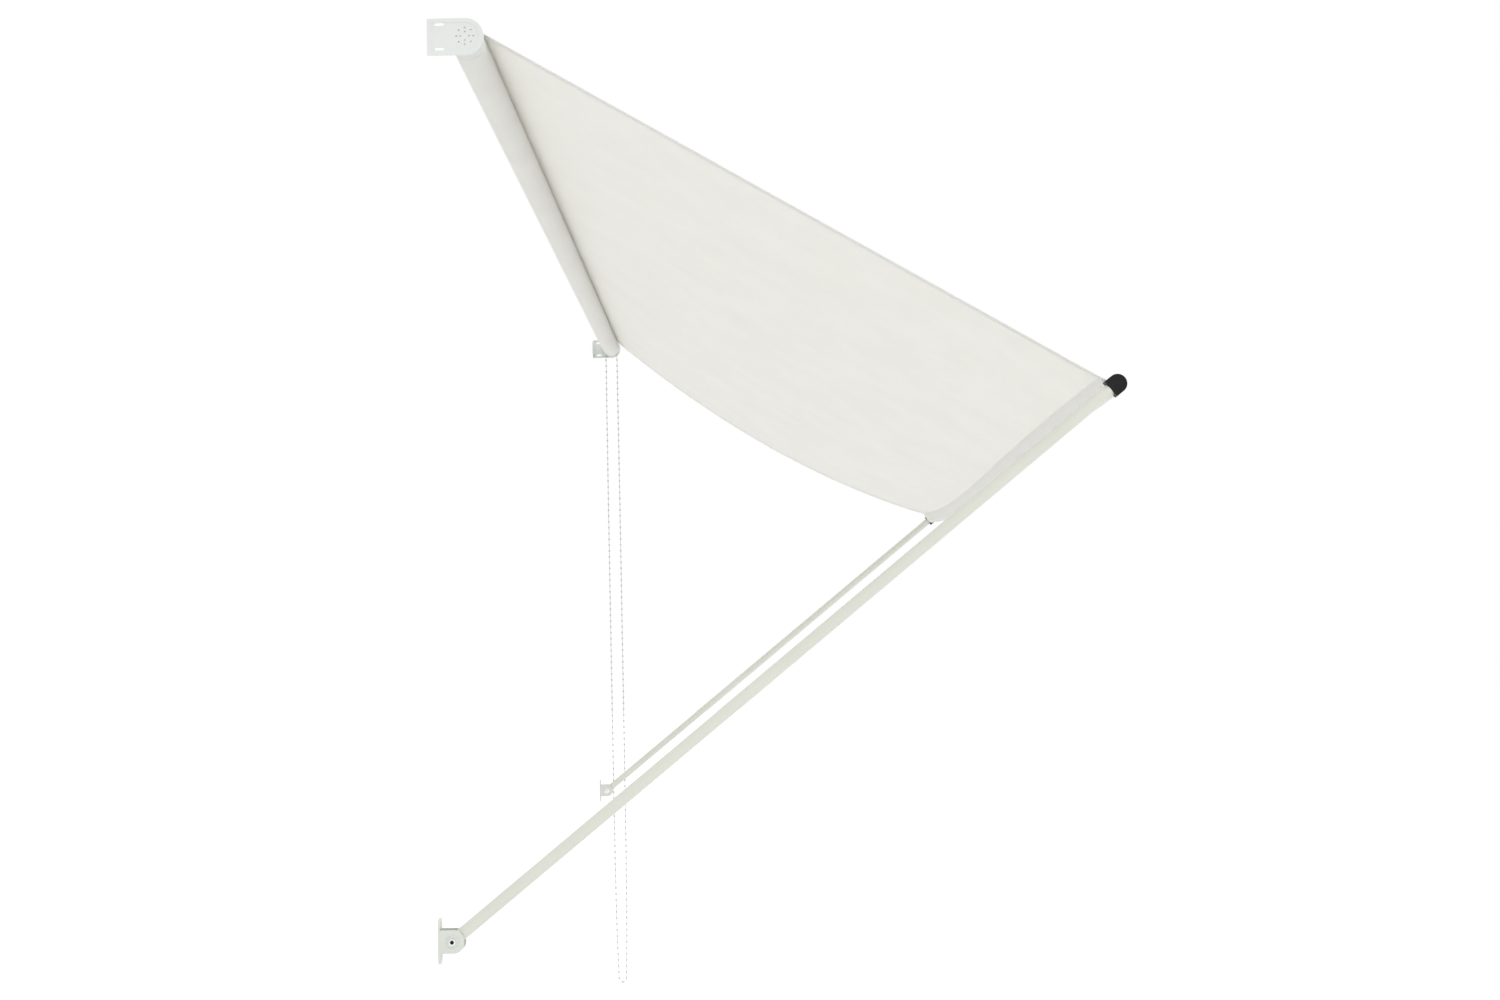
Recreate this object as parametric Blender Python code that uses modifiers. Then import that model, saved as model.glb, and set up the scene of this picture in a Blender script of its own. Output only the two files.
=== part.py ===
"""Drop-arm roller awning: cheek brackets, roller with rolled cloth, sloping sheet, front bar, two arms.

Metres, +Z up. The wall is the plane Y = 0 and the awning reaches out towards -Y. The origin is on the
wall, midway between the roller brackets, at the height of the roller's axis. +X runs along the roller
towards the chain. The pose is the one with the cloth let out.
"""
import math

import bmesh
import bpy
from mathutils import Matrix, Vector

# Overall size
SPAN = 4.000                # between the outer faces of the two roller brackets
ROLLER_OUT = 0.078          # roller axis to the wall
PIVOT_DROP = 1.840          # roller axis down to the arms' pivots
PIVOT_OUT = 0.029           # arms' pivot to the wall
ARM_LENGTH = 1.750          # arms' pivot to the axis of the front bar
ARM_ANGLE = math.radians(38.5)   # arms above the horizontal with the cloth let out
ARM_INSET = 0.036           # arm's middle plane inwards from the bracket's outer face
SKIN = 0.0003               # gap between pieces that touch

# Roller bracket
CHEEK_HEIGHT = 0.076
CHEEK_DEPTH = 0.008         # rim, along the roller
CHEEK_WALL = 0.0030         # rim, across
CHEEK_PLATE = 0.0032        # back of the face to the outer edge of the rim
CHEEK_BORDER = 0.009        # raised border round the face
CHEEK_RECESS = 0.0008
FLANGE_REACH = 0.040        # wall flange, along the wall from the outer face
FLANGE_HEIGHT = 0.051
FLANGE_THICK = 0.004
FLANGE_HOLE_R = 0.0035
FLANGE_HOLE_INSET = 0.026
FLANGE_HOLE_RISE = 0.0135
SLOT_LENGTH = 0.020
SLOT_WIDTH = 0.0065
SLOT_OUT = 0.025            # slot's middle to the wall
SLOT_EDGE = 0.012           # slot's middle to the cheek's edge
HOLE_R = 0.0021             # small holes round the roller axis
OUTER_HOLES_R = 0.0175
INNER_HOLES_R = 0.0090

# Roller
TUBE_R = 0.0310
TUBE_WALL = 0.0016
CHANNEL_R = 0.0030          # cloth channel in the tube
CHANNEL_DEPTH = 0.0045      # tube's surface to the middle of the channel
CHANNEL_SLOT = 0.0024
CHANNEL_WALL = 0.0016
SPLINE_R = 0.0025
CLOTH = 0.0007              # cloth thickness
ROLL_TURNS = 3              # turns that stay on the tube
TURN_PITCH = 0.0010
CLOTH_INSET = 0.052         # cloth's edge inwards from the bracket's outer face
RUN = 0.00035               # radial clearance of a bore on its pin

# Idler end
IDLER_PIN_R = 0.006
IDLER_FLANGE_R = 0.022
IDLER_FLANGE = 0.0025
IDLER_PIN_END = 0.055       # from the outer face
IDLER_PLUG_FACE = 0.0095    # plug's flange, from the outer face
PLUG_FLANGE = 0.003
PLUG_LENGTH = 0.033         # plug's body in the tube
PLUG_SHELL = 0.003
PEG_LENGTH = 0.0025
COLLAR_SHY = 0.0005         # collar of a plug, under the roll's outside
COLLAR_GAP = 0.0010         # between a collar and the cloth

# Chain end
BASE_PLAY = 0.0007          # base and guard in the cheek's rim
BASE_THICK = 0.003
SHAFT_R = 0.009
SHAFT_END = 0.064           # from the outer face
GUARD_R = 0.0365            # largest ledge of the guard
GUARD_STEP = 0.0011         # from one ledge to the next
GUARD_LEDGES = 3
GUARD_WALL = 0.0028
GUARD_FACE = 0.0222         # inner face of the guard, from the outer face
GUARD_MOUTH = 0.006         # top of the guard's mouths, below the roller axis
MOUTH_PLAY = 0.0014         # round the chain in a mouth
EYE_PLAY = 0.0015           # round the wheel's hub
WHEEL_R = 0.0265
WHEEL_PITCH_R = 0.023       # chain's middle on the wheel
CHAIN_INSET = 0.013         # chain's plane, from the outer face
CHAIN_R = 0.0035            # beads
WHEEL_HALF = 0.0058
HUB_R = 0.0132              # corner radius of the six-sided hub
HUB_END = 0.044
DRIVE_PLUG_FACE = 0.024
DRIVE_PLUG_END = 0.058
SPRING_WIRE_R = 0.0008
SPRING_R = 0.0106
SPRING_TURNS = 3
SPRING_START = 0.0465
SPRING_PITCH = 0.0019
RING_THICK = 0.0010         # retaining rings
RING_PROUD = 0.0025         # ring's reach past its shaft
RING_GROOVE = 0.0012        # groove's depth in the shaft

# Arms and front bar
ARM_R = 0.0125
ARM_WALL = 0.0015
FOOT_FLAT = 0.016           # foot's shoulder from the pivot
SPIGOT = 0.030              # length of each spigot in its tube
SPIGOT_PLAY = 0.0004
BAR_R = 0.0175
BAR_WALL = 0.0016
BAR_BOW = 0.036             # droop of the front bar at its lowest
BOW_POWER = 1.94            # moves the lowest point towards the chain's side
BAR_STRAIGHT = 0.036        # straight stretch at each end, round the spigot
BOW_EASE = 0.20             # the droop is eased in over this length
CAP_R = 0.0197
CAP_FLAT = 0.0178           # cap's flat side from the bar's axis
CAP_THICK = 0.0256
CAP_EDGE = 0.0010
RIVET_R = 0.0016
RIVET_HEAD_R = 0.0032
RIVET_HEAD = 0.0010
RIVET_BACK = 0.018          # rivet from the end of its tube

# Arm bracket
PLATE_WIDTH = 0.037
PLATE_HEIGHT = 0.092
PLATE_THICK = 0.0035
PLATE_CORNER = 0.017
PLATE_HOLE_R = 0.0035
PLATE_HOLE_RISE = 0.036
EAR_REACH = 0.0515
EAR_HALF = 0.023
EAR_THICK = 0.0035
EAR_CORNER = 0.0195
BOLT_R = 0.004
BOLT_HEAD_R = 0.0075
BOLT_HEAD = 0.0055
SOCKET_R = 0.0032
SOCKET_DEPTH = 0.0045
NUT_R = 0.0078
NUT_THICK = 0.0065
BOLT_STICK_OUT = 0.002
WASHER_R = 0.0120
WASHER_THICK = 0.0015
SPACER_R = 0.0100
SPACER_THICK = 0.0010

# Cloth
SHEET_SAG = 0.085           # sag at the slack edge on the chain's side
SAG_POWER = 2.6             # how fast the sag fades towards the taut edge
WRAP_ANGLE = math.radians(20)    # cloth still on the roll before it leaves at the taut edge
SEAM_BACK = 0.037           # hem seam from the bar's axis
SEAM_WIDTH = 0.012
HEM_CLOTH = 0.0008
CLOTH_BAYS = 12             # facets across the width
SHEET_ROWS = 10
WRAP_ROWS = 3

# Chain, hanging from the wheel in two strands that draw together at the bottom
CHAIN_SPLIT = math.radians(1.6)  # half the gap between the chain's two ends, at the wheel's top
# One strand: sideways from the roller axis and down from it
CHAIN_STRAND = (
    (0.0230, 0.0), (0.0230, -0.06), (0.0238, -0.55), (0.0238, -1.15), (0.0234, -1.75),
    (0.0222, -2.20), (0.0196, -2.43), (0.0170, -2.53), (0.0155, -2.585), (0.0149, -2.606),
    (0.0137, -2.6118), (0.0105, -2.6165), (0.0056, -2.6195), (0.0, -2.6205),
)

ROUND = 20                  # facets of a middling round piece
FINE = 28
SMALL = 14

LEFT, RIGHT = -1, 1
SIDES = {"left": LEFT, "right": RIGHT}
ROLLER_AXIS = (ROLLER_OUT, 0.0)
PIVOT_AXIS = (PIVOT_OUT, -PIVOT_DROP)
BAR_AXIS = (
    PIVOT_OUT + ARM_LENGTH * math.cos(ARM_ANGLE),
    -PIVOT_DROP + ARM_LENGTH * math.sin(ARM_ANGLE),
)
ARM_CORE_R = ARM_R - ARM_WALL - SPIGOT_PLAY
BAR_CORE_R = BAR_R - BAR_WALL - SPIGOT_PLAY
BAR_INSET = ARM_INSET + CAP_THICK / 2 + SKIN
ROLL_R = TUBE_R + SKIN + CLOTH + ROLL_TURNS * TURN_PITCH   # outside of the rolled cloth
COLLAR_R = ROLL_R - COLLAR_SHY
COLLAR_END = CLOTH_INSET - COLLAR_GAP
BASE_R = CHEEK_HEIGHT / 2 - CHEEK_WALL - BASE_PLAY
EAR_GAP = ARM_R + SPACER_THICK + 2 * SKIN      # arm's middle plane to an ear


# Scene and materials

def clear_scene():
    for old in list(bpy.data.objects):
        bpy.data.objects.remove(old, do_unlink=True)


def new_collection(name):
    group = bpy.data.collections.new(name)
    bpy.context.scene.collection.children.link(group)
    return group


def paint(obj, colour, roughness, metallic=0.0):
    """Give an object a material of its own."""
    mat = bpy.data.materials.new(obj.name + "_finish")
    mat.use_nodes = True
    shader = mat.node_tree.nodes["Principled BSDF"]
    shader.inputs["Base Color"].default_value = (*colour, 1.0)
    shader.inputs["Roughness"].default_value = roughness
    shader.inputs["Metallic"].default_value = metallic
    mat.diffuse_color = (*colour, 1.0)
    obj.data.materials.clear()
    obj.data.materials.append(mat)
    if obj.type == "MESH" and obj.data.polygons:
        obj.data.shade_smooth()
        obj.data.set_sharp_from_angle(angle=math.radians(35))
    return obj


WHITE_PAINT = ((0.78, 0.80, 0.77), 0.38, 0.0)
ARM_PAINT = ((0.73, 0.745, 0.67), 0.36, 0.0)
WHITE_PLASTIC = ((0.74, 0.75, 0.73), 0.45, 0.0)
BLACK_PLASTIC = ((0.018, 0.019, 0.020), 0.32, 0.0)
GREY_PLASTIC = ((0.30, 0.31, 0.32), 0.45, 0.0)
BARE_METAL = ((0.62, 0.63, 0.64), 0.30, 1.0)
DARK_METAL = ((0.20, 0.20, 0.21), 0.40, 1.0)
CREAM_CLOTH = ((0.80, 0.79, 0.74), 0.85, 0.0)
CHAIN_PLASTIC = ((0.62, 0.62, 0.66), 0.40, 0.0)


# Places

def inset(side, depth):
    """X of a point that lies depth inwards from the outer face of the bracket on that side."""
    return side * (SPAN / 2 - depth)


def side_frame(x, centre=(0.0, 0.0)):
    """Local x runs out from the wall, local y up and local z along -X."""
    out, up = centre
    return Matrix(((0, 0, -1, x), (-1, 0, 0, -out), (0, 1, 0, up), (0, 0, 0, 1)))


def wall_frame(x, up):
    """Local x runs along X, local y up and local z out from the wall."""
    return Matrix(((1, 0, 0, x), (0, 0, -1, 0), (0, 1, 0, up), (0, 0, 0, 1)))


def turning_frame(side, centre):
    """Local z runs outwards along the roller, from the bracket's outer face."""
    out, up = centre
    return Matrix(((0, 0, side, inset(side, 0)), (0, -side, 0, -out), (1, 0, 0, up), (0, 0, 0, 1)))


def arm_frame(x):
    """Local x runs along X, local z along the arm from its pivot."""
    c, s = math.cos(ARM_ANGLE), math.sin(ARM_ANGLE)
    return Matrix(((1, 0, 0, x), (0, s, -c, -PIVOT_OUT), (0, c, s, -PIVOT_DROP), (0, 0, 0, 1)))


# Outlines, each a closed list of points

def circle(radius, facets, centre=(0.0, 0.0), start=0.0):
    step = 2 * math.pi / facets
    return [
        (centre[0] + radius * math.cos(start + i * step), centre[1] + radius * math.sin(start + i * step))
        for i in range(facets)
    ]


def arc(radius, first, last, steps, centre=(0.0, 0.0)):
    return [
        (
            centre[0] + radius * math.cos(first + (last - first) * i / steps),
            centre[1] + radius * math.sin(first + (last - first) * i / steps),
        )
        for i in range(steps + 1)
    ]


def rectangle(x0, x1, y0, y1):
    return [(x0, y0), (x1, y0), (x1, y1), (x0, y1)]


def round_rectangle(x0, x1, y0, y1, radius, steps=5):
    quarter = math.pi / 2
    corners = ((x1, y1, 0), (x0, y1, 1), (x0, y0, 2), (x1, y0, 3))
    points = []
    for x, y, turn in corners:
        centre = (x + (radius if turn in (1, 2) else -radius), y + (radius if turn in (2, 3) else -radius))
        points += arc(radius, turn * quarter, (turn + 1) * quarter, steps, centre)
    return points


def cheek_outline(shrink):
    """D shape of the roller bracket, drawn in by shrink on all sides."""
    half = CHEEK_HEIGHT / 2 - shrink
    nose = arc(half, -math.pi / 2, math.pi / 2, 14, ROLLER_AXIS)
    return nose + [(shrink, half), (shrink, -half)]


def slot_outline(centre):
    straight = (SLOT_LENGTH - SLOT_WIDTH) / 2
    right = arc(SLOT_WIDTH / 2, -math.pi / 2, math.pi / 2, 5, (centre[0] + straight, centre[1]))
    left = arc(SLOT_WIDTH / 2, math.pi / 2, 3 * math.pi / 2, 5, (centre[0] - straight, centre[1]))
    return right + left


def ear_outline():
    """Ear of the arm bracket, square at the wall and rounded at its outer corners."""
    low, high = -EAR_HALF, EAR_HALF
    out = EAR_REACH - EAR_CORNER
    lower = arc(EAR_CORNER, -math.pi / 2, 0, 6, (out, low + EAR_CORNER))
    upper = arc(EAR_CORNER, 0, math.pi / 2, 6, (out, high - EAR_CORNER))
    return [(PLATE_THICK / 2, low)] + lower + upper + [(PLATE_THICK / 2, high)]


def cap_outline():
    """D shape of the end cap round the bar's axis, with its flat side towards the arm (local -x)."""
    rounded = arc(CAP_R, -math.pi / 2, math.pi / 2, 14)
    return rounded + [(-CAP_FLAT, CAP_R), (-CAP_FLAT, -CAP_R)]


def teardrop(radius, tail, half):
    """Round a bar of that radius, drawn out to a tail at local -x."""
    reach = math.acos((radius - half) / tail)
    points = arc(radius, -math.pi + reach, math.pi - reach, 16)
    return points + [(-tail, half), (-tail, -half)]


def tube_outlines():
    """Roller tube: the outside with its cloth channel, and the inside with the wall round it."""
    depth = TUBE_R - CHANNEL_DEPTH
    half = CHANNEL_SLOT / 2
    gap = math.asin(half / TUBE_R)
    mouth = math.asin(half / CHANNEL_R)
    top = math.pi / 2
    outside = arc(TUBE_R, top + gap, top - gap + 2 * math.pi, FINE)
    channel = arc(CHANNEL_R, top - mouth, top + mouth - 2 * math.pi, 12, (0.0, depth))
    inner = TUBE_R - TUBE_WALL
    boss = CHANNEL_R + CHANNEL_WALL
    spread = math.asin(boss / inner)
    inside = arc(inner, top + spread, top - spread + 2 * math.pi, FINE)
    inside += [(boss, depth - boss), (-boss, depth - boss)]
    return outside + channel, inside


def spiral_outline():
    """The rolled turns as one ribbon, from its outer end at the place where the sheet begins."""
    outer = ROLL_R - CLOTH / 2
    sweep = 2 * math.pi * ROLL_TURNS
    steps = 32 * ROLL_TURNS
    start = sheet_start_angle() + SKIN / outer
    top, bottom = [], []
    for i in range(steps + 1):
        turn = sweep * i / steps
        radius = outer - TURN_PITCH * turn / (2 * math.pi)
        c, s = math.cos(start + turn), math.sin(start + turn)
        top.append(((radius + CLOTH / 2) * c, (radius + CLOTH / 2) * s))
        bottom.append(((radius - CLOTH / 2) * c, (radius - CLOTH / 2) * s))
    return top + bottom[::-1]


# Solids

def as_mesh(obj):
    """Replace a curve object by its mesh, with the caps welded on."""
    depsgraph = bpy.context.evaluated_depsgraph_get()
    mesh = bpy.data.meshes.new_from_object(obj.evaluated_get(depsgraph))
    name, matrix, group = obj.name, obj.matrix_world.copy(), obj.users_collection[0]
    bpy.data.objects.remove(obj, do_unlink=True)
    work = bmesh.new()
    work.from_mesh(mesh)
    bmesh.ops.remove_doubles(work, verts=work.verts, dist=1e-6)
    bmesh.ops.recalc_face_normals(work, faces=work.faces)
    work.to_mesh(mesh)
    work.free()
    solid = bpy.data.objects.new(name, mesh)
    group.objects.link(solid)
    solid.matrix_world = matrix
    bpy.context.view_layer.update()
    return solid


def extruded(name, outlines, frame, low, high, group=None):
    """Flat outlines in the frame's XY plane, extruded along its z from low to high."""
    curve = bpy.data.curves.new(name, "CURVE")
    curve.dimensions = "2D"
    curve.fill_mode = "BOTH"
    curve.extrude = (high - low) / 2
    for outline in outlines:
        spline = curve.splines.new("POLY")
        spline.points.add(len(outline) - 1)
        for point, (x, y) in zip(spline.points, outline):
            point.co = (x, y, 0.0, 1.0)
        spline.use_cyclic_u = True
    obj = bpy.data.objects.new(name, curve)
    (group or awning).objects.link(obj)
    obj.matrix_world = frame @ Matrix.Translation((0.0, 0.0, (low + high) / 2))
    bpy.context.view_layer.update()
    return as_mesh(obj)


def between(name, outlines, x0, x1, centre=(0.0, 0.0), turn=0.0, group=None):
    """Outlines seen from the side, turned about the centre and extruded between two X places."""
    frame = side_frame(0.0, centre) @ Matrix.Rotation(turn, 4, "Z")
    low, high = sorted((-x0, -x1))
    return extruded(name, outlines, frame, low, high, group)


def along_x(name, outlines, side, near, far, centre=(0.0, 0.0), group=None):
    """Outlines seen from the side, between two depths inwards from a bracket's outer face."""
    return between(name, outlines, inset(side, near), inset(side, far), centre, 0.0, group)


def turned(name, profile, side, centre, facets=ROUND, group=None):
    """Profile of (radius, depth) points turned about the X line through centre.

    The outer side runs from the outer face inwards. A profile that leaves the axis is closed on it.
    """
    mesh = bpy.data.meshes.new(name)
    points = [(radius, 0.0, -depth) for radius, depth in profile]
    edges = [(i, i + 1) for i in range(len(points) - 1)]
    if min(radius for radius, _ in profile) > 0:
        edges.append((len(points) - 1, 0))
    mesh.from_pydata(points, edges, [])
    obj = bpy.data.objects.new(name, mesh)
    (group or awning).objects.link(obj)
    obj.matrix_world = turning_frame(side, centre)
    screw = obj.modifiers.new("Turn", "SCREW")
    screw.axis = "Z"
    screw.angle = 2 * math.pi
    screw.steps = facets
    screw.render_steps = facets
    screw.use_smooth_shade = True
    screw.use_merge_vertices = True
    screw.merge_threshold = 1e-5
    bpy.context.view_layer.update()
    return obj


def rod(name, radius, frame, low, high, facets=SMALL, group=None):
    """Plain cylinder along the frame's z."""
    mesh = bpy.data.meshes.new(name)
    work = bmesh.new()
    bmesh.ops.create_cone(
        work, cap_ends=True, cap_tris=False, segments=facets,
        radius1=radius, radius2=radius, depth=high - low,
        matrix=Matrix.Translation((0.0, 0.0, (low + high) / 2)),
    )
    work.to_mesh(mesh)
    work.free()
    obj = bpy.data.objects.new(name, mesh)
    (group or awning).objects.link(obj)
    obj.matrix_world = frame
    bpy.context.view_layer.update()
    return obj


def boolean(obj, other, operation):
    step = obj.modifiers.new(operation.title(), "BOOLEAN")
    step.operation = operation
    step.solver = "EXACT"
    step.object = other
    other.hide_render = True
    other.display_type = "WIRE"
    return obj


def cut(obj, cutter):
    return boolean(obj, cutter, "DIFFERENCE")


def join(obj, other):
    return boolean(obj, other, "UNION")


# Brackets of the roller

def roller_bracket(word, side):
    name = "roller_bracket_" + word
    half = CHEEK_HEIGHT / 2
    outlines = [cheek_outline(0.0)]
    for up in (half - SLOT_EDGE, SLOT_EDGE - half):
        outlines.append(slot_outline((SLOT_OUT, up)))
    for i in range(8):
        turn = i * math.pi / 4
        outlines.append(circle(HOLE_R, 8, (
            ROLLER_OUT + OUTER_HOLES_R * math.cos(turn), OUTER_HOLES_R * math.sin(turn))))
    for i in range(4):
        turn = i * math.pi / 2
        outlines.append(circle(HOLE_R, 8, (
            ROLLER_OUT + INNER_HOLES_R * math.cos(turn), INNER_HOLES_R * math.sin(turn))))
    cheek = along_x(name, outlines, side, 0.0, CHEEK_DEPTH)
    pocket = along_x(
        name + "_pocket", [cheek_outline(CHEEK_WALL)], side, CHEEK_PLATE, CHEEK_DEPTH + 0.002, group=cutters)
    recess = along_x(
        name + "_recess", [cheek_outline(CHEEK_BORDER)], side, -0.002, CHEEK_RECESS, group=cutters)
    low, high = sorted((inset(side, 0.0), inset(side, FLANGE_REACH)))
    hole_x = inset(side, FLANGE_HOLE_INSET)
    holes = [circle(FLANGE_HOLE_R, SMALL, (hole_x, up)) for up in (FLANGE_HOLE_RISE, -FLANGE_HOLE_RISE)]
    flange = extruded(
        name + "_flange", [rectangle(low, high, -FLANGE_HEIGHT / 2, FLANGE_HEIGHT / 2)] + holes,
        wall_frame(0.0, 0.0), 0.0, FLANGE_THICK, cutters)
    cut(cheek, pocket)
    cut(cheek, recess)
    join(cheek, flange)
    return paint(cheek, *WHITE_PAINT)


def pegs(side, back, group):
    """Two locating pegs in opposite holes of the outer ring."""
    made = []
    for i, turn in enumerate((math.pi / 4, 5 * math.pi / 4)):
        centre = (ROLLER_OUT + OUTER_HOLES_R * math.cos(turn), OUTER_HOLES_R * math.sin(turn))
        peg = rod(
            f"peg_{'left' if side < 0 else 'right'}_{i}", HOLE_R - 2 * SKIN,
            turning_frame(side, centre), -back - 0.001, -back + PEG_LENGTH, 8, group)
        made.append(peg)
    return made


def shaft_profile(radius, near, ring_at, tip):
    """Round shaft from near to tip, with the groove of its retaining ring at ring_at."""
    neck = radius - RING_GROOVE
    return [
        (radius, near), (radius, ring_at - SKIN), (neck, ring_at - SKIN),
        (neck, ring_at + RING_THICK + SKIN), (radius, ring_at + RING_THICK + SKIN),
        (radius, tip), (0.0, tip),
    ]


def retaining_ring(name, radius, side, depth):
    inner = radius - RING_GROOVE + RUN
    return paint(turned(name, [
        (radius + RING_PROUD, depth), (radius + RING_PROUD, depth + RING_THICK),
        (inner, depth + RING_THICK), (inner, depth),
    ], side, ROLLER_AXIS), *DARK_METAL)


IDLER_RING_AT = IDLER_PLUG_FACE + PLUG_FLANGE + PLUG_LENGTH + SKIN
DRIVE_RING_AT = DRIVE_PLUG_END + SKIN


def idler_pin():
    back = CHEEK_PLATE + SKIN
    profile = [(0.0, back), (IDLER_FLANGE_R, back), (IDLER_FLANGE_R, back + IDLER_FLANGE)]
    profile += shaft_profile(IDLER_PIN_R, back + IDLER_FLANGE, IDLER_RING_AT, IDLER_PIN_END)
    pin = turned("idler_pin", profile, LEFT, ROLLER_AXIS)
    for peg in pegs(LEFT, back, cutters):
        join(pin, peg)
    return paint(pin, *BARE_METAL)


def drive_base():
    back = CHEEK_PLATE + SKIN
    profile = [(0.0, back), (BASE_R, back), (BASE_R, back + BASE_THICK)]
    profile += shaft_profile(SHAFT_R, back + BASE_THICK, DRIVE_RING_AT, SHAFT_END)
    base = turned("drive_base", profile, RIGHT, ROLLER_AXIS)
    for peg in pegs(RIGHT, back, cutters):
        join(base, peg)
    return paint(base, *GREY_PLASTIC)


# What turns with the roller

def roller_tube():
    tube = between(
        "roller_tube", tube_outlines(),
        inset(LEFT, IDLER_PLUG_FACE + PLUG_FLANGE + SKIN),
        inset(RIGHT, DRIVE_PLUG_FACE + PLUG_FLANGE + SKIN), ROLLER_AXIS)
    return paint(tube, *BARE_METAL)


def keyed(plug, side, near, far):
    """Notch in a plug for the wall of the tube's cloth channel."""
    half = CHANNEL_R + CHANNEL_WALL + SKIN
    low = TUBE_R - CHANNEL_DEPTH - half
    notch = along_x(
        plug.name + "_notch", [rectangle(-half, half, low, TUBE_R)], side, near, far,
        ROLLER_AXIS, cutters)
    return cut(plug, notch)


def collar_profile(face, shoulder):
    """Collar over the bare end of the tube, which sits in the groove behind it."""
    return [
        (COLLAR_R, face), (COLLAR_R, COLLAR_END), (TUBE_R + SKIN, COLLAR_END), (TUBE_R + SKIN, shoulder),
    ]


def idler_plug():
    face = IDLER_PLUG_FACE
    shoulder = face + PLUG_FLANGE
    end = shoulder + PLUG_LENGTH
    body = TUBE_R - TUBE_WALL - SKIN
    bore = IDLER_PIN_R + RUN
    hub = bore + PLUG_SHELL
    plug = turned("idler_plug", [
        *collar_profile(face, shoulder), (body, shoulder), (body, end), (body - PLUG_SHELL, end),
        (body - PLUG_SHELL, shoulder + PLUG_SHELL), (hub, shoulder + PLUG_SHELL), (hub, end),
        (bore, end), (bore, face),
    ], LEFT, ROLLER_AXIS, FINE)
    keyed(plug, LEFT, shoulder, end + 0.002)
    return paint(plug, *WHITE_PLASTIC)


def drive_plug():
    face, end = DRIVE_PLUG_FACE, DRIVE_PLUG_END
    shoulder = face + PLUG_FLANGE
    body = TUBE_R - TUBE_WALL - SKIN
    bore = SHAFT_R + RUN
    cavity = SPRING_R + SPRING_WIRE_R + 0.002
    web = end - PLUG_FLANGE
    plug = turned("drive_plug", [
        *collar_profile(face, shoulder), (body, shoulder), (body, end), (bore, end),
        (bore, web), (cavity, web), (cavity, HUB_END + SKIN), (bore, HUB_END + SKIN), (bore, face),
    ], RIGHT, ROLLER_AXIS, FINE)
    socket = along_x(
        "drive_plug_socket", [circle(HUB_R + SKIN, 6)], RIGHT, face - 0.002, HUB_END + SKIN,
        ROLLER_AXIS, cutters)
    cut(plug, socket)
    keyed(plug, RIGHT, shoulder, end + 0.002)
    return paint(plug, *WHITE_PLASTIC)


def chain_wheel():
    near, far = CHAIN_INSET - WHEEL_HALF, CHAIN_INSET + WHEEL_HALF
    floor = WHEEL_PITCH_R - CHAIN_R - 2 * SKIN
    groove = CHAIN_R + 2 * SKIN
    bore = SHAFT_R + RUN
    wheel = turned("chain_wheel", [
        (WHEEL_R, near), (WHEEL_R, CHAIN_INSET - groove), (floor, CHAIN_INSET - groove),
        (floor, CHAIN_INSET + groove), (WHEEL_R, CHAIN_INSET + groove), (WHEEL_R, far),
        (bore, far), (bore, near),
    ], RIGHT, ROLLER_AXIS)
    hub = along_x(
        "chain_wheel_hub", [circle(HUB_R, 6), circle(bore, ROUND)], RIGHT, far - 0.001, HUB_END,
        ROLLER_AXIS, cutters)
    join(wheel, hub)
    return paint(wheel, *WHITE_PLASTIC)


def chain_guard():
    """Cup over the chain wheel, on the base, with ledges round it and two mouths for the chain."""
    near = CHEEK_PLATE + BASE_THICK + 2 * SKIN
    inner = BASE_R - GUARD_WALL
    eye = HUB_R + EYE_PLAY
    floor = GUARD_FACE - GUARD_WALL
    start = CHEEK_DEPTH + SKIN
    ledge = (GUARD_FACE - start) / GUARD_LEDGES
    profile = [(BASE_R, near), (BASE_R, start)]
    for i in range(GUARD_LEDGES):
        radius = GUARD_R - i * GUARD_STEP
        profile += [(radius, start + i * ledge), (radius, start + (i + 1) * ledge)]
    profile += [(eye, GUARD_FACE), (eye, floor), (inner, floor), (inner, near)]
    guard = turned("chain_guard", profile, RIGHT, ROLLER_AXIS, FINE)
    play = CHAIN_R + MOUTH_PLAY
    for i, way in enumerate((-1, 1)):
        middle = way * WHEEL_PITCH_R
        mouth = along_x(
            f"chain_guard_mouth_{i}", [rectangle(middle - play, middle + play, -GUARD_R - 0.004, -GUARD_MOUTH)],
            RIGHT, CHAIN_INSET - play, CHAIN_INSET + play, ROLLER_AXIS, cutters)
        cut(guard, mouth)
    return paint(guard, *WHITE_PLASTIC)


def poly_tube(name, points, radius, resolution=2):
    curve = bpy.data.curves.new(name, "CURVE")
    curve.dimensions = "3D"
    curve.bevel_depth = radius
    curve.bevel_resolution = resolution
    curve.use_fill_caps = True
    spline = curve.splines.new("POLY")
    spline.points.add(len(points) - 1)
    for point, place in zip(spline.points, points):
        point.co = (*place, 1.0)
    obj = bpy.data.objects.new(name, curve)
    awning.objects.link(obj)
    bpy.context.view_layer.update()
    return obj


def clutch_spring():
    steps = 10 * SPRING_TURNS
    points = []
    for i in range(steps + 1):
        turn = 2 * math.pi * i / 10
        depth = SPRING_START + SPRING_PITCH * turn / (2 * math.pi)
        points.append((
            inset(RIGHT, depth), -ROLLER_OUT - SPRING_R * math.cos(turn), SPRING_R * math.sin(turn)))
    return paint(poly_tube("clutch_spring", points, SPRING_WIRE_R), *DARK_METAL)


def spline_rod():
    centre = (ROLLER_OUT, TUBE_R - CHANNEL_DEPTH)
    span = SPAN / 2 - CLOTH_INSET
    return paint(rod("spline_rod", SPLINE_R, side_frame(0.0, centre), -span, span, 10), *WHITE_PLASTIC)


def cloth_roll():
    span = SPAN / 2 - CLOTH_INSET
    roll = between("cloth_roll", [spiral_outline()], -span, span, ROLLER_AXIS)
    return paint(roll, *CREAM_CLOTH)


# Arms and front bar

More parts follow.
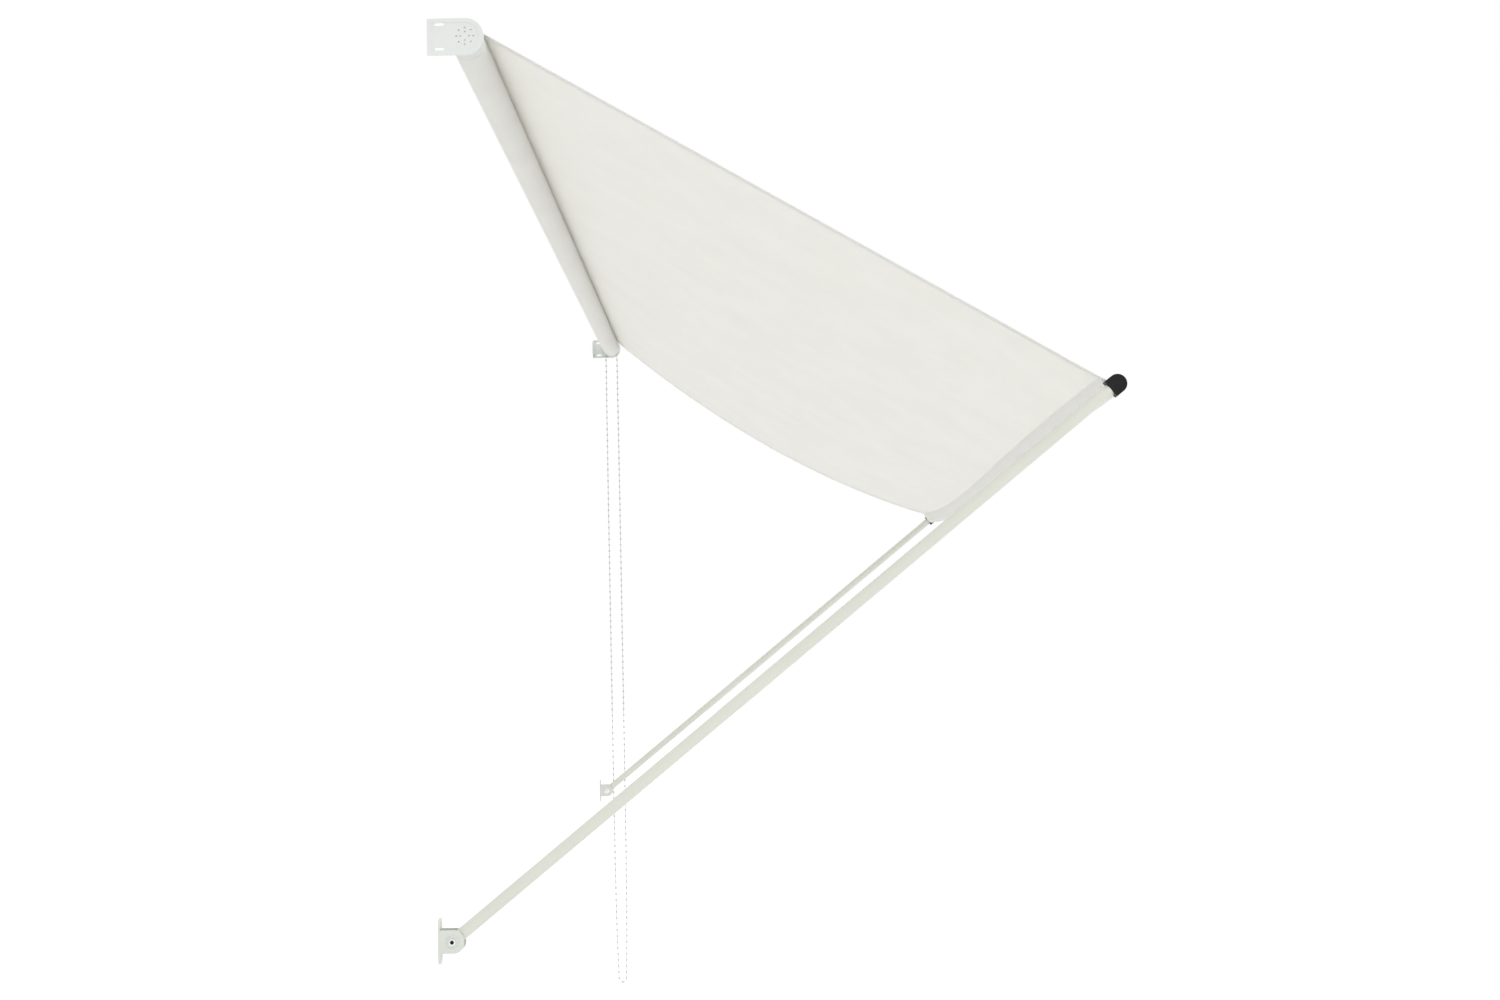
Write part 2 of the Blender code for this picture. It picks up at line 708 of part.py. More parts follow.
def arm_tube(word, side):
    ring = [circle(ARM_R, ROUND), circle(ARM_R - ARM_WALL, ROUND)]
    tube = extruded(
        "arm_tube_" + word, ring, arm_frame(inset(side, ARM_INSET)),
        FOOT_FLAT + SKIN, ARM_LENGTH - CAP_FLAT - SKIN)
    for end in ("foot", "top"):
        cut(tube, rivet_hole(word, side, end, RIVET_R + SKIN, "tube"))
    return paint(tube, *ARM_PAINT)


def rivet_frame(side, end):
    """Local z runs inboard, square to the arm, through the arm's axis."""
    along = FOOT_FLAT + RIVET_BACK if end == "foot" else ARM_LENGTH - CAP_FLAT - RIVET_BACK
    frame = arm_frame(inset(side, ARM_INSET)) @ Matrix.Translation((0.0, 0.0, along))
    return frame @ Matrix.Rotation(-side * math.pi / 2, 4, "Y")


def rivet_hole(word, side, end, radius, what):
    return rod(
        f"rivet_hole_{end}_{word}_{what}", radius, rivet_frame(side, end),
        ARM_R / 2 - 0.002, ARM_R + 0.004, 12, cutters)


def rivet(word, side, end):
    frame = rivet_frame(side, end)
    shank = rod(f"arm_rivet_{end}_{word}", RIVET_R, frame, ARM_R / 2, ARM_R + SKIN + RIVET_HEAD / 2, 12)
    head = rod(
        f"rivet_head_{end}_{word}", RIVET_HEAD_R, frame,
        ARM_R + SKIN, ARM_R + SKIN + RIVET_HEAD, 12, cutters)
    return paint(join(shank, head), *BARE_METAL)


def arm_foot(word, side):
    """Moulded foot: an eye round the pivot bolt and a spigot in the tube."""
    x = inset(side, ARM_INSET)
    turn = ARM_ANGLE
    eye_end = arc(ARM_R, turn + math.pi / 2, turn + 3 * math.pi / 2, 14)
    c, s = math.cos(turn), math.sin(turn)
    shoulder = [
        (FOOT_FLAT * c + ARM_R * s, FOOT_FLAT * s - ARM_R * c),
        (FOOT_FLAT * c - ARM_R * s, FOOT_FLAT * s + ARM_R * c),
    ]
    bore = circle(BOLT_R + RUN, SMALL)
    foot = extruded(
        "arm_foot_" + word, [eye_end + shoulder, bore], side_frame(x, PIVOT_AXIS), -ARM_R, ARM_R)
    spigot = rod(
        f"arm_foot_{word}_spigot", ARM_CORE_R, arm_frame(x), FOOT_FLAT - 0.002, FOOT_FLAT + SPIGOT,
        ROUND, cutters)
    join(foot, spigot)
    cut(foot, rivet_hole(word, side, "foot", RIVET_R + SKIN, "core"))
    return paint(foot, *BLACK_PLASTIC)


def end_cap(word, side):
    """Moulded cap: a D-shaped block with one spigot in the front bar and one in the arm."""
    near = ARM_INSET - CAP_THICK / 2
    far = ARM_INSET + CAP_THICK / 2
    cap = between(
        "end_cap_" + word, [cap_outline()], inset(side, near), inset(side, far), BAR_AXIS, ARM_ANGLE)
    edge = cap.modifiers.new("Rounded edges", "BEVEL")
    edge.width = CAP_EDGE
    edge.segments = 2
    edge.limit_method = "ANGLE"
    edge.angle_limit = math.radians(50)
    in_bar = rod(
        f"end_cap_{word}_bar_spigot", BAR_CORE_R, turning_frame(side, BAR_AXIS),
        -far - SPIGOT, -far + 0.002, ROUND, cutters)
    in_arm = rod(
        f"end_cap_{word}_arm_spigot", ARM_CORE_R, arm_frame(inset(side, ARM_INSET)),
        ARM_LENGTH - CAP_FLAT - SPIGOT, ARM_LENGTH - CAP_FLAT + 0.002, ROUND, cutters)
    join(cap, in_bar)
    join(cap, in_arm)
    cut(cap, rivet_hole(word, side, "top", RIVET_R + SKIN, "core"))
    return paint(cap, *BLACK_PLASTIC)


def bar_droop(x):
    """How far the front bar hangs below the line between its ends."""
    end = SPAN / 2 - BAR_INSET
    t = min(max((x + end) / (2 * end), 0.0), 1.0)
    from_end = min(max((end - BAR_STRAIGHT - abs(x)) / BOW_EASE, 0.0), 1.0)
    ease = from_end * from_end * (3 - 2 * from_end)
    return BAR_BOW * ease * math.sin(math.pi * t ** BOW_POWER)


def stations():
    """X places where the cloth and the bar bend, with two more near each end."""
    end = SPAN / 2 - CLOTH_INSET
    even = [-end + 2 * end * i / CLOTH_BAYS for i in range(CLOTH_BAYS + 1)]
    straight = SPAN / 2 - BAR_INSET - BAR_STRAIGHT
    eased = straight - BOW_EASE / 2
    return sorted(even + [-straight, -eased, eased, straight])


def drooped(obj):
    """Cut a solid that runs along X at the stations, and let it hang with the bar."""
    work = bmesh.new()
    work.from_mesh(obj.data)
    place = obj.matrix_world
    back = place.inverted()
    normal = back.to_3x3() @ Vector((1, 0, 0))
    for x in stations()[1:-1]:
        bmesh.ops.bisect_plane(
            work, geom=work.verts[:] + work.edges[:] + work.faces[:], dist=1e-7,
            plane_co=back @ Vector((x, place.translation.y, place.translation.z)), plane_no=normal)
    for vert in work.verts:
        world = place @ vert.co
        world.z -= bar_droop(world.x)
        vert.co = back @ world
    bmesh.ops.triangulate(work, faces=[f for f in work.faces if len(f.verts) == 4])
    work.to_mesh(obj.data)
    work.free()
    return obj


def front_bar():
    half = SPAN / 2 - BAR_INSET
    ring = [circle(BAR_R, ROUND), circle(BAR_R - BAR_WALL, ROUND)]
    bar = between("front_bar", ring, -half, half, BAR_AXIS)
    return paint(drooped(bar), *ARM_PAINT)


# Cloth

def cloth_slope():
    """Slope below the horizontal of the straight line from the roll's top to the bar's axis."""
    out, up = BAR_AXIS[0] - ROLLER_OUT, BAR_AXIS[1]
    reach = math.hypot(out, up)
    return math.atan2(-up, out) + math.asin((ROLL_R - CLOTH / 2) / reach)


def sheet_start_angle():
    """Angle round the roller axis, from the outward horizontal, where the sheet begins."""
    return math.pi / 2 - cloth_slope() + WRAP_ANGLE


def seam_place(x):
    """Outward and upward place of the hem's seam."""
    slope = cloth_slope()
    return (
        BAR_AXIS[0] - SEAM_BACK * math.cos(slope),
        BAR_AXIS[1] + SEAM_BACK * math.sin(slope) - bar_droop(x),
    )


def sheet_row_points(x):
    """One line of the sheet from the roll to the seam, as outward and upward places."""
    end = SPAN / 2 - CLOTH_INSET
    sag = SHEET_SAG * ((x + end) / (2 * end)) ** SAG_POWER
    radius = ROLL_R - CLOTH / 2
    seam = seam_place(x)
    slope = cloth_slope()
    seam = (seam[0] - 2 * SKIN * math.cos(slope), seam[1] + 2 * SKIN * math.sin(slope))
    leave = math.pi / 2 - slope
    for _ in range(6):
        start = (ROLLER_OUT + radius * math.cos(leave), radius * math.sin(leave))
        steep = math.atan2(start[1] - seam[1] + 4 * sag, seam[0] - start[0])
        leave = math.pi / 2 - steep
    first = sheet_start_angle()
    points = arc(radius, first, leave, WRAP_ROWS, ROLLER_AXIS)
    for i in range(1, SHEET_ROWS + 1):
        v = i / SHEET_ROWS
        points.append((
            start[0] + (seam[0] - start[0]) * v,
            start[1] + (seam[1] - start[1]) * v - 4 * sag * v * (1 - v),
        ))
    return points


def cloth_sheet():
    """Curved sheet: taut at the left edge and slack at the chain's side."""
    lines = [(x, sheet_row_points(x)) for x in stations()]
    across, along = len(lines) - 1, WRAP_ROWS + SHEET_ROWS
    mesh = bpy.data.meshes.new("cloth_sheet")
    work = bmesh.new()
    bmesh.ops.create_grid(work, x_segments=across, y_segments=along, size=1.0)
    for vert in work.verts:
        i = round((vert.co.x + 1) / 2 * across)
        j = round((vert.co.y + 1) / 2 * along)
        x, points = lines[i]
        vert.co = (x, -points[j][0], points[j][1])
    bmesh.ops.triangulate(work, faces=work.faces)
    work.to_mesh(mesh)
    work.free()
    sheet = bpy.data.objects.new("cloth_sheet", mesh)
    awning.objects.link(sheet)
    shell = sheet.modifiers.new("Cloth thickness", "SOLIDIFY")
    shell.thickness = CLOTH
    shell.offset = 0.0
    shell.use_even_offset = True
    bpy.context.view_layer.update()
    return paint(sheet, *CREAM_CLOTH)


def hem_pocket():
    """Cloth pocket round the front bar, drawn out to the seam."""
    half = SPAN / 2 - CLOTH_INSET
    inner = BAR_R + 1.2 * SKIN
    pocket = between("hem_pocket", [
        teardrop(inner + HEM_CLOTH, SEAM_BACK, HEM_CLOTH),
        teardrop(inner, SEAM_BACK - SEAM_WIDTH, SKIN),
    ], -half, half, BAR_AXIS, -cloth_slope())
    return paint(drooped(pocket), *CREAM_CLOTH)


# Arm brackets and their bolts

def arm_bracket(word, side):
    name = "arm_bracket_" + word
    x = inset(side, ARM_INSET)
    half_w, half_h = PLATE_WIDTH / 2, PLATE_HEIGHT / 2
    holes = [circle(PLATE_HOLE_R, SMALL, (0.0, up)) for up in (PLATE_HOLE_RISE, -PLATE_HOLE_RISE)]
    plate = extruded(
        name, [round_rectangle(-half_w, half_w, -half_h, half_h, PLATE_CORNER)] + holes,
        wall_frame(x, -PIVOT_DROP), 0.0, PLATE_THICK)
    eye = circle(BOLT_R + RUN, SMALL, (PIVOT_OUT, 0.0))
    for i, way in enumerate((-1, 1)):
        low, high = sorted((way * EAR_GAP, way * (EAR_GAP + EAR_THICK)))
        ear = extruded(
            f"{name}_ear_{i}", [ear_outline(), eye], side_frame(x, (0.0, -PIVOT_DROP)), low, high, cutters)
        join(plate, ear)
    return paint(plate, *WHITE_PAINT)


def pivot_depths():
    """Depths inwards from the outer face: outer side of the outer ear, inner side of the inner ear."""
    return ARM_INSET - EAR_GAP - EAR_THICK, ARM_INSET + EAR_GAP + EAR_THICK


def ring_piece(name, side, near, thick, outer, facets=ROUND):
    bore = BOLT_R + RUN
    return turned(name, [
        (outer, near), (outer, near + thick), (bore, near + thick), (bore, near),
    ], side, PIVOT_AXIS, facets)


def pivot_bolt(word, side):
    outer, inner = pivot_depths()
    under = outer - SKIN - WASHER_THICK - SKIN
    top = under - BOLT_HEAD
    tip = inner + SKIN + WASHER_THICK + SKIN + NUT_THICK + BOLT_STICK_OUT
    bolt = turned("pivot_bolt_" + word, [
        (0.0, top + SOCKET_DEPTH), (SOCKET_R, top + SOCKET_DEPTH), (SOCKET_R, top),
        (BOLT_HEAD_R * 0.72, top), (BOLT_HEAD_R * 0.93, top + BOLT_HEAD * 0.35),
        (BOLT_HEAD_R, under), (BOLT_R, under), (BOLT_R, tip), (0.0, tip),
    ], side, PIVOT_AXIS, SMALL)
    return paint(bolt, *BARE_METAL)


def pivot_small_parts(word, side):
    outer, inner = pivot_depths()
    paint(ring_piece(
        "washer_outer_" + word, side, outer - SKIN - WASHER_THICK, WASHER_THICK, WASHER_R, SMALL), *WHITE_PAINT)
    paint(ring_piece("washer_inner_" + word, side, inner + SKIN, WASHER_THICK, WASHER_R, SMALL), *BARE_METAL)
    spacers = (ARM_INSET - ARM_R - SKIN - SPACER_THICK, ARM_INSET + ARM_R + SKIN)
    for place, near in zip(("outer", "inner"), spacers):
        paint(ring_piece(
            f"spacer_{place}_{word}", side, near, SPACER_THICK, SPACER_R, SMALL), *BLACK_PLASTIC)
    near = inner + SKIN + WASHER_THICK + SKIN
    nut = along_x(
        "pivot_nut_" + word, [circle(NUT_R, 6), circle(BOLT_R + RUN, SMALL)], side, near, near + NUT_THICK,
        PIVOT_AXIS)
    paint(nut, *BARE_METAL)


# Chain

def curve_point(a, b, c, d, w):
    """Point a share w of the way from b to c on the smooth curve through a, b, c and d."""
    knots = [0.0]
    for p, q in ((a, b), (b, c), (c, d)):
        knots.append(knots[-1] + max(math.dist(p, q), 1e-9) ** 0.5)
    t = knots[1] + (knots[2] - knots[1]) * w

    def mix(p, q, low, high):
        share = (t - low) / (high - low)
        return tuple(x + (y - x) * share for x, y in zip(p, q))

    t0, t1, t2, t3 = knots
    ab, bc, cd = mix(a, b, t0, t1), mix(b, c, t1, t2), mix(c, d, t2, t3)
    return mix(mix(ab, bc, t0, t2), mix(bc, cd, t1, t3), t1, t2)


def smooth_route(points):
    """Finely spaced points on a smooth curve through the given ones."""
    before = tuple(2 * x - y for x, y in zip(points[0], points[1]))
    after = tuple(2 * x - y for x, y in zip(points[-1], points[-2]))
    ends = [before, *points, after]
    fine = [
        curve_point(a, b, c, d, i / 24)
        for a, b, c, d in zip(ends, ends[1:], ends[2:], ends[3:]) for i in range(24)
    ]
    return fine + [points[-1]]


def thinned(fine):
    """Keep points closely where the route bends and widely where it hangs straight."""
    kept = [fine[0]]
    for b, c in zip(fine[1:], fine[2:]):
        a = kept[-1]
        first = math.atan2(b[1] - a[1], b[0] - a[0])
        turn = math.remainder(math.atan2(c[1] - b[1], c[0] - b[0]) - first, 2 * math.pi)
        if abs(turn) > math.radians(7) or math.dist(a, b) > 0.15:
            kept.append(b)
    return kept + [fine[-1]]


def chain_route():
    """Outward and upward places along the chain, from one side of the wheel's top to the other."""
    quarter = math.pi / 2
    down = [(ROLLER_OUT - aside, drop) for aside, drop in CHAIN_STRAND]
    up = [(ROLLER_OUT + aside, drop) for aside, drop in CHAIN_STRAND[-2::-1]]
    back = arc(WHEEL_PITCH_R, quarter + CHAIN_SPLIT, 2 * quarter, 8, ROLLER_AXIS)
    front = arc(WHEEL_PITCH_R, 0.0, quarter - CHAIN_SPLIT, 8, ROLLER_AXIS)
    return back[:-1] + thinned(smooth_route(down + up)) + front[1:]


def bead_chain():
    """The endless chain, over the wheel and down its hanging loop."""
    x = inset(RIGHT, CHAIN_INSET)
    points = [(x, -out, up) for out, up in chain_route()]
    return paint(poly_tube("bead_chain", points, CHAIN_R), *CHAIN_PLASTIC)


# The whole awning

def turning_empty(name, centre):
    out, up = centre
    empty = bpy.data.objects.new(name, None)
    awning.objects.link(empty)
    empty.location = (0.0, -out, up)
    bpy.context.view_layer.update()
    return empty


def hang_on(empty, pieces):
    for piece in pieces:
        place = piece.matrix_world.copy()
        piece.parent = empty
        piece.matrix_parent_inverse = empty.matrix_world.inverted()
        piece.matrix_world = place


def build():
    for word, side in SIDES.items():
        roller_bracket(word, side)
        arm_bracket(word, side)
        pivot_bolt(word, side)
        pivot_small_parts(word, side)
    idler_pin()
    retaining_ring("idler_ring", IDLER_PIN_R, LEFT, IDLER_RING_AT)
    drive_base()
    retaining_ring("drive_ring", SHAFT_R, RIGHT, DRIVE_RING_AT)
    chain_guard()
    clutch_spring()
    bead_chain()

    roller = [roller_tube(), idler_plug(), drive_plug(), chain_wheel(), spline_rod(), cloth_roll()]
    hang_on(turning_empty("roller_axis", ROLLER_AXIS), roller)

    arms = [front_bar(), hem_pocket()]
    for word, side in SIDES.items():
        arms += [arm_tube(word, side), arm_foot(word, side), end_cap(word, side)]
        arms += [rivet(word, side, "foot"), rivet(word, side, "top")]
    hang_on(turning_empty("arm_pivots", PIVOT_AXIS), arms)

    hang_on(turning_empty("sheet_swing", ROLLER_AXIS), [cloth_sheet()])


clear_scene()
awning = new_collection("canvas_awning")
cutters = new_collection("cutters")
build()
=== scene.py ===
"""Looks of the drop-arm roller awning: cloth, hem, stitching, beads, paint, plastic and metal.

Metres, in the CAD part's own frame: the wall is Y = 0, the awning reaches out to -Y, +X runs along the
roller to the chain and +Z is up. "out" is the distance from the wall and "up" the height above the
roller's axis.
"""
import math

import bmesh
import bpy
from mathutils import Matrix, Vector, noise


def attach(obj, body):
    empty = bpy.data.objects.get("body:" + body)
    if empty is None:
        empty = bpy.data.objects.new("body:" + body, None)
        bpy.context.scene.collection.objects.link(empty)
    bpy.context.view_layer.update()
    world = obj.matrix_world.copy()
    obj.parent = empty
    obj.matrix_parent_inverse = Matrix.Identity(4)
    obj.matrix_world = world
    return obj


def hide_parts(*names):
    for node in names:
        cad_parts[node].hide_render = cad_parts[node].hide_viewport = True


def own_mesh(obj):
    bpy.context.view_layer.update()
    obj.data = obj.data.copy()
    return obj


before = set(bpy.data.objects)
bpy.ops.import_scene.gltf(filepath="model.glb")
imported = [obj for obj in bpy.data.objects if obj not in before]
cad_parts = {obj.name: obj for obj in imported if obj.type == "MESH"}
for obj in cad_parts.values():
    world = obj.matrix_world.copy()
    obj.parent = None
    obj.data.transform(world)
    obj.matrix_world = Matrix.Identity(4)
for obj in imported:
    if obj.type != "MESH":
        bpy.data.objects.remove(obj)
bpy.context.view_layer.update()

# Sizes that the dressed pieces share with the CAD part
SPAN = 4.000
ROLLER_OUT = 0.078
PIVOT_DROP = 1.840
PIVOT_OUT = 0.029
ARM_LENGTH = 1.750
ARM_ANGLE = math.radians(38.5)
ARM_SWING = math.radians(46.0)
SHEET_SHARE = 0.5
ARM_INSET = 0.036
SKIN = 0.0003
SPIGOT_PLAY = 0.0004

CHEEK_HALF = 0.038
CHEEK_DEPTH = 0.008
CHEEK_WALL = 0.0030
CHEEK_PLATE = 0.0032
CHEEK_BORDER = 0.009
CHEEK_RECESS = 0.0008
FLANGE_REACH = 0.040
FLANGE_HALF = 0.0255
FLANGE_THICK = 0.004

TUBE_R = 0.0310
TUBE_WALL = 0.0016
PLUG_R = TUBE_R - TUBE_WALL - SKIN
KEY_HALF = 0.0049
KEY_FLOOR = TUBE_R - 0.0045 - KEY_HALF
CLOTH = 0.0007
TURN_PITCH = 0.0010
ROLL_TURNS = 3
ROLL_R = TUBE_R + SKIN + CLOTH + ROLL_TURNS * TURN_PITCH
CLOTH_INSET = 0.052
CLOTH_END = SPAN / 2 - CLOTH_INSET

ARM_R = 0.0125
ARM_WALL = 0.0015
BAR_R = 0.0175
BAR_BOW = 0.036
BOW_POWER = 1.94
BAR_STRAIGHT = 0.036
BOW_EASE = 0.20
CAP_R = 0.0197
CAP_FLAT = 0.0178
CAP_THICK = 0.0256
BAR_INSET = ARM_INSET + CAP_THICK / 2 + SKIN

PLATE_HALF_WIDTH = 0.0185
PLATE_HALF_HEIGHT = 0.046
PLATE_THICK = 0.0035
PLATE_CORNER = 0.017
EAR_REACH = 0.0515
EAR_HALF = 0.023
EAR_THICK = 0.0035
EAR_CORNER = 0.0195
EAR_GAP = ARM_R + 0.0010 + 2 * SKIN
BOLT_HEAD_R = 0.0075
FOOT_FLAT = 0.016
FOOT_BORE_R = 0.00435
RIVET_STEM_R = 0.0016
RIVET_HEAD_R = 0.0032
RIVET_HEAD = 0.0011

SHEET_SAG = 0.085
SAG_POWER = 2.6
WRAP_ANGLE = math.radians(20)
SEAM_BACK = 0.037
SEAM_WIDTH = 0.012
HEM_CLOTH = 0.0008
SIDE_HEM = 0.022
STITCH = 0.0060
WEAVE_PITCH = 0.0013

IDLER_FACE = 0.0095
BASE_R = 0.0343
GUARD_FACE = 0.0222
GUARD_R = 0.0365
GUARD_STEP = 0.0011
GUARD_BORE = 0.0147
GUARD_HOLLOW_R = 0.0315

CHAIN_INSET = 0.013
CHAIN_R = 0.0035
WHEEL_PITCH_R = 0.023
CHAIN_SPLIT = math.radians(1.6)
BEAD_PITCH = 0.0243
BEAD_HALF = 0.0052
LINK_R = 0.0011
CHAIN_STRAND = (
    (0.0230, 0.0), (0.0230, -0.06), (0.0238, -0.55), (0.0238, -1.15), (0.0234, -1.75),
    (0.0222, -2.20), (0.0196, -2.43), (0.0170, -2.53), (0.0155, -2.585), (0.0149, -2.606),
    (0.0137, -2.6118), (0.0105, -2.6165), (0.0056, -2.6195), (0.0, -2.6205),
)

LEFT, RIGHT = -1, 1
SIDES = {"left": LEFT, "right": RIGHT}
ROLLER_AXIS = (ROLLER_OUT, 0.0)
PIVOT_AXIS = (PIVOT_OUT, -PIVOT_DROP)
BAR_AXIS = (
    PIVOT_OUT + ARM_LENGTH * math.cos(ARM_ANGLE),
    -PIVOT_DROP + ARM_LENGTH * math.sin(ARM_ANGLE),
)


# Materials

def add(tree, kind, inputs=None, **settings):
    """New shader node. An input is a number, a colour or another node's output."""
    new = tree.nodes.new("ShaderNode" + kind)
    for key, value in settings.items():
        setattr(new, key, value)
    for key, value in (inputs or {}).items():
        if isinstance(value, bpy.types.NodeSocket):
            tree.links.new(value, new.inputs[key])
        else:
            new.inputs[key].default_value = value
    return new


def new_material(name, **fixed):
    mat = bpy.data.materials.new(name)
    mat.use_nodes = True
    tree = mat.node_tree
    shader = tree.nodes["Principled BSDF"]
    for key, value in fixed.items():
        shader.inputs[key.replace("_", " ").title().replace("Ior", "IOR")].default_value = value
    return mat, tree, shader


def link(tree, output, shader, key):
    tree.links.new(output, shader.inputs[key])


def math_node(tree, operation, a, b=0.0):
    return add(tree, "Math", {0: a, 1: b}, operation=operation).outputs[0]


def noise_of(tree, place, scale, detail=2.0, stretch=None, roughness=0.5):
    """Noise from 0 to 1, over coordinates that may be stretched first."""
    if stretch:
        place = add(tree, "Mapping", {"Vector": place, "Scale": stretch}).outputs[0]
    return add(tree, "TexNoise", {
        "Vector": place, "Scale": scale, "Detail": detail, "Roughness": roughness}).outputs[0]


def ramp(tree, value, low, high, start=0.0, end=1.0):
    return add(tree, "MapRange", {
        "Value": value, "From Min": low, "From Max": high, "To Min": start, "To Max": end}).outputs[0]


def tint(tree, colour, shade, amount):
    """Colour mixed towards shade by amount, which is an output from 0 to 1."""
    return add(tree, "Mix", {
        0: amount, 6: (*colour, 1.0), 7: (*shade, 1.0)}, data_type="RGBA").outputs[2]


def mix_outputs(tree, first, shade, amount):
    return add(tree, "Mix", {0: amount, 6: first, 7: (*shade, 1.0)}, data_type="RGBA").outputs[2]


def scaled(colour, share):
    return tuple(c * share for c in colour)


def powder_coat(name, colour, roughness):
    """Sprayed paint: fine orange peel, soft mottling, a little handling dirt and dull scuffs."""
    mat, tree, shader = new_material(name, metallic=0.0, coat_weight=0.12, coat_roughness=0.25)
    place = add(tree, "TexCoord").outputs["Object"]
    mottle = ramp(tree, noise_of(tree, place, 7.0, 4.0), 0.35, 0.7)
    base = tint(tree, colour, scaled(colour, 0.95), mottle)
    grime = ramp(tree, noise_of(tree, place, 55.0, 8.0, roughness=0.65), 0.60, 0.78, 0.0, 0.35)
    base = mix_outputs(tree, base, scaled((0.80, 0.78, 0.70), 0.80), grime)
    scuff = ramp(tree, noise_of(tree, place, 14.0, 6.0, (1.0, 9.0, 9.0), 0.7), 0.66, 0.74, 0.0, 0.25)
    base = mix_outputs(tree, base, scaled(colour, 0.82), scuff)
    link(tree, base, shader, "Base Color")
    rough = ramp(tree, noise_of(tree, place, 90.0, 4.0), 0.3, 0.7, roughness - 0.05, roughness + 0.08)
    rough = math_node(tree, "ADD", rough, math_node(tree, "MULTIPLY", scuff, 0.5))
    link(tree, rough, shader, "Roughness")
    peel = noise_of(tree, place, 620.0, 2.0)
    bump = add(tree, "Bump", {"Height": peel, "Strength": 0.22, "Distance": 0.00025})
    link(tree, bump.outputs[0], shader, "Normal")
    return mat


def moulded(name, colour, roughness, shine=0.5, grain=1400.0):
    """Injection moulding: fine spark grain, faint flow marks and rubbed spots."""
    mat, tree, shader = new_material(name, metallic=0.0)
    shader.inputs["Specular IOR Level"].default_value = shine
    place = add(tree, "TexCoord").outputs["Object"]
    flow = ramp(tree, noise_of(tree, place, 30.0, 5.0, (1.0, 1.0, 3.0)), 0.35, 0.7)
    base = tint(tree, colour, tuple(c * 0.86 + 0.004 for c in colour), flow)
    dust = ramp(tree, noise_of(tree, place, 240.0, 8.0, roughness=0.7), 0.60, 0.75, 0.0, 0.22)
    base = mix_outputs(tree, base, tuple(min(1.0, c * 0.9 + 0.06) for c in colour), dust)
    link(tree, base, shader, "Base Color")
    rubbed = ramp(tree, noise_of(tree, place, 120.0, 5.0), 0.3, 0.7, roughness - 0.07, roughness + 0.09)
    link(tree, rubbed, shader, "Roughness")
    bump = add(tree, "Bump", {
        "Height": noise_of(tree, place, grain, 2.0), "Strength": 0.25, "Distance": 0.00012})
    link(tree, bump.outputs[0], shader, "Normal")
    return mat


def metal(name, colour, roughness, stretch):
    """Plated or drawn metal, brushed along one direction, with cloudy patches."""
    mat, tree, shader = new_material(name, metallic=1.0)
    place = add(tree, "TexCoord").outputs["Object"]
    lines = noise_of(tree, place, 160.0, 4.0, stretch, 0.6)
    cloud = noise_of(tree, place, 45.0, 5.0)
    base = tint(tree, colour, scaled(colour, 0.80), ramp(tree, cloud, 0.35, 0.72))
    link(tree, base, shader, "Base Color")
    marks = math_node(tree, "MULTIPLY", lines, cloud)
    rough = ramp(tree, marks, 0.1, 0.4, roughness - 0.08, roughness + 0.14)
    link(tree, rough, shader, "Roughness")
    bump = add(tree, "Bump", {"Height": lines, "Strength": 0.2, "Distance": 0.00008})
    link(tree, bump.outputs[0], shader, "Normal")
    return mat


def woven(name, colour, weave_strength=0.55, glow=1.0, depth=0.002):
    """Canvas: plain weave over UVs in metres, uneven threads, soft mottling, faint creases and sheen."""
    mat, tree, shader = new_material(
        name, metallic=0.0, sheen_weight=0.12, sheen_roughness=0.45, subsurface_weight=glow,
        subsurface_scale=depth)
    shader.inputs["Subsurface Radius"].default_value = (1.0, 0.97, 0.90)
    shader.inputs["Specular IOR Level"].default_value = 0.25
    cloth_place = add(tree, "TexCoord").outputs["UV"]
    parts = add(tree, "SeparateXYZ", {0: cloth_place})
    wave = []
    for axis in (0, 1):
        angle = math_node(tree, "MULTIPLY", parts.outputs[axis], 2 * math.pi / WEAVE_PITCH)
        wave.append(math_node(tree, "SINE", angle))
    weave = ramp(tree, math_node(tree, "MULTIPLY", wave[0], wave[1]), -1.0, 1.0)
    warp = noise_of(tree, cloth_place, 1.0, 3.0, (1500.0, 26.0, 1.0))
    weft = noise_of(tree, cloth_place, 1.0, 3.0, (26.0, 1500.0, 1.0))
    threads = math_node(tree, "MULTIPLY", math_node(tree, "ADD", warp, weft), 0.5)
    mottle = noise_of(tree, cloth_place, 5.0, 6.0, roughness=0.6)
    base = tint(tree, colour, scaled(colour, 0.955), ramp(tree, mottle, 0.35, 0.7))
    base = mix_outputs(tree, base, scaled(colour, 0.80), ramp(tree, threads, 0.42, 0.66, 0.0, 0.28))
    base = mix_outputs(tree, base, scaled(colour, 0.72), ramp(tree, weave, 0.0, 0.5, 0.22, 0.0))
    link(tree, base, shader, "Base Color")
    link(tree, ramp(tree, threads, 0.3, 0.7, 0.78, 0.92), shader, "Roughness")
    fine = math_node(tree, "ADD", weave, math_node(tree, "MULTIPLY", threads, 1.4))
    fine_bump = add(tree, "Bump", {"Height": fine, "Strength": weave_strength, "Distance": 0.00030})
    creases = noise_of(tree, cloth_place, 1.0, 3.0, (2.2, 5.0, 1.0))
    soft_bump = add(tree, "Bump", {
        "Height": creases, "Strength": 0.5, "Distance": 0.012, "Normal": fine_bump.outputs[0]})
    link(tree, soft_bump.outputs[0], shader, "Normal")
    return mat


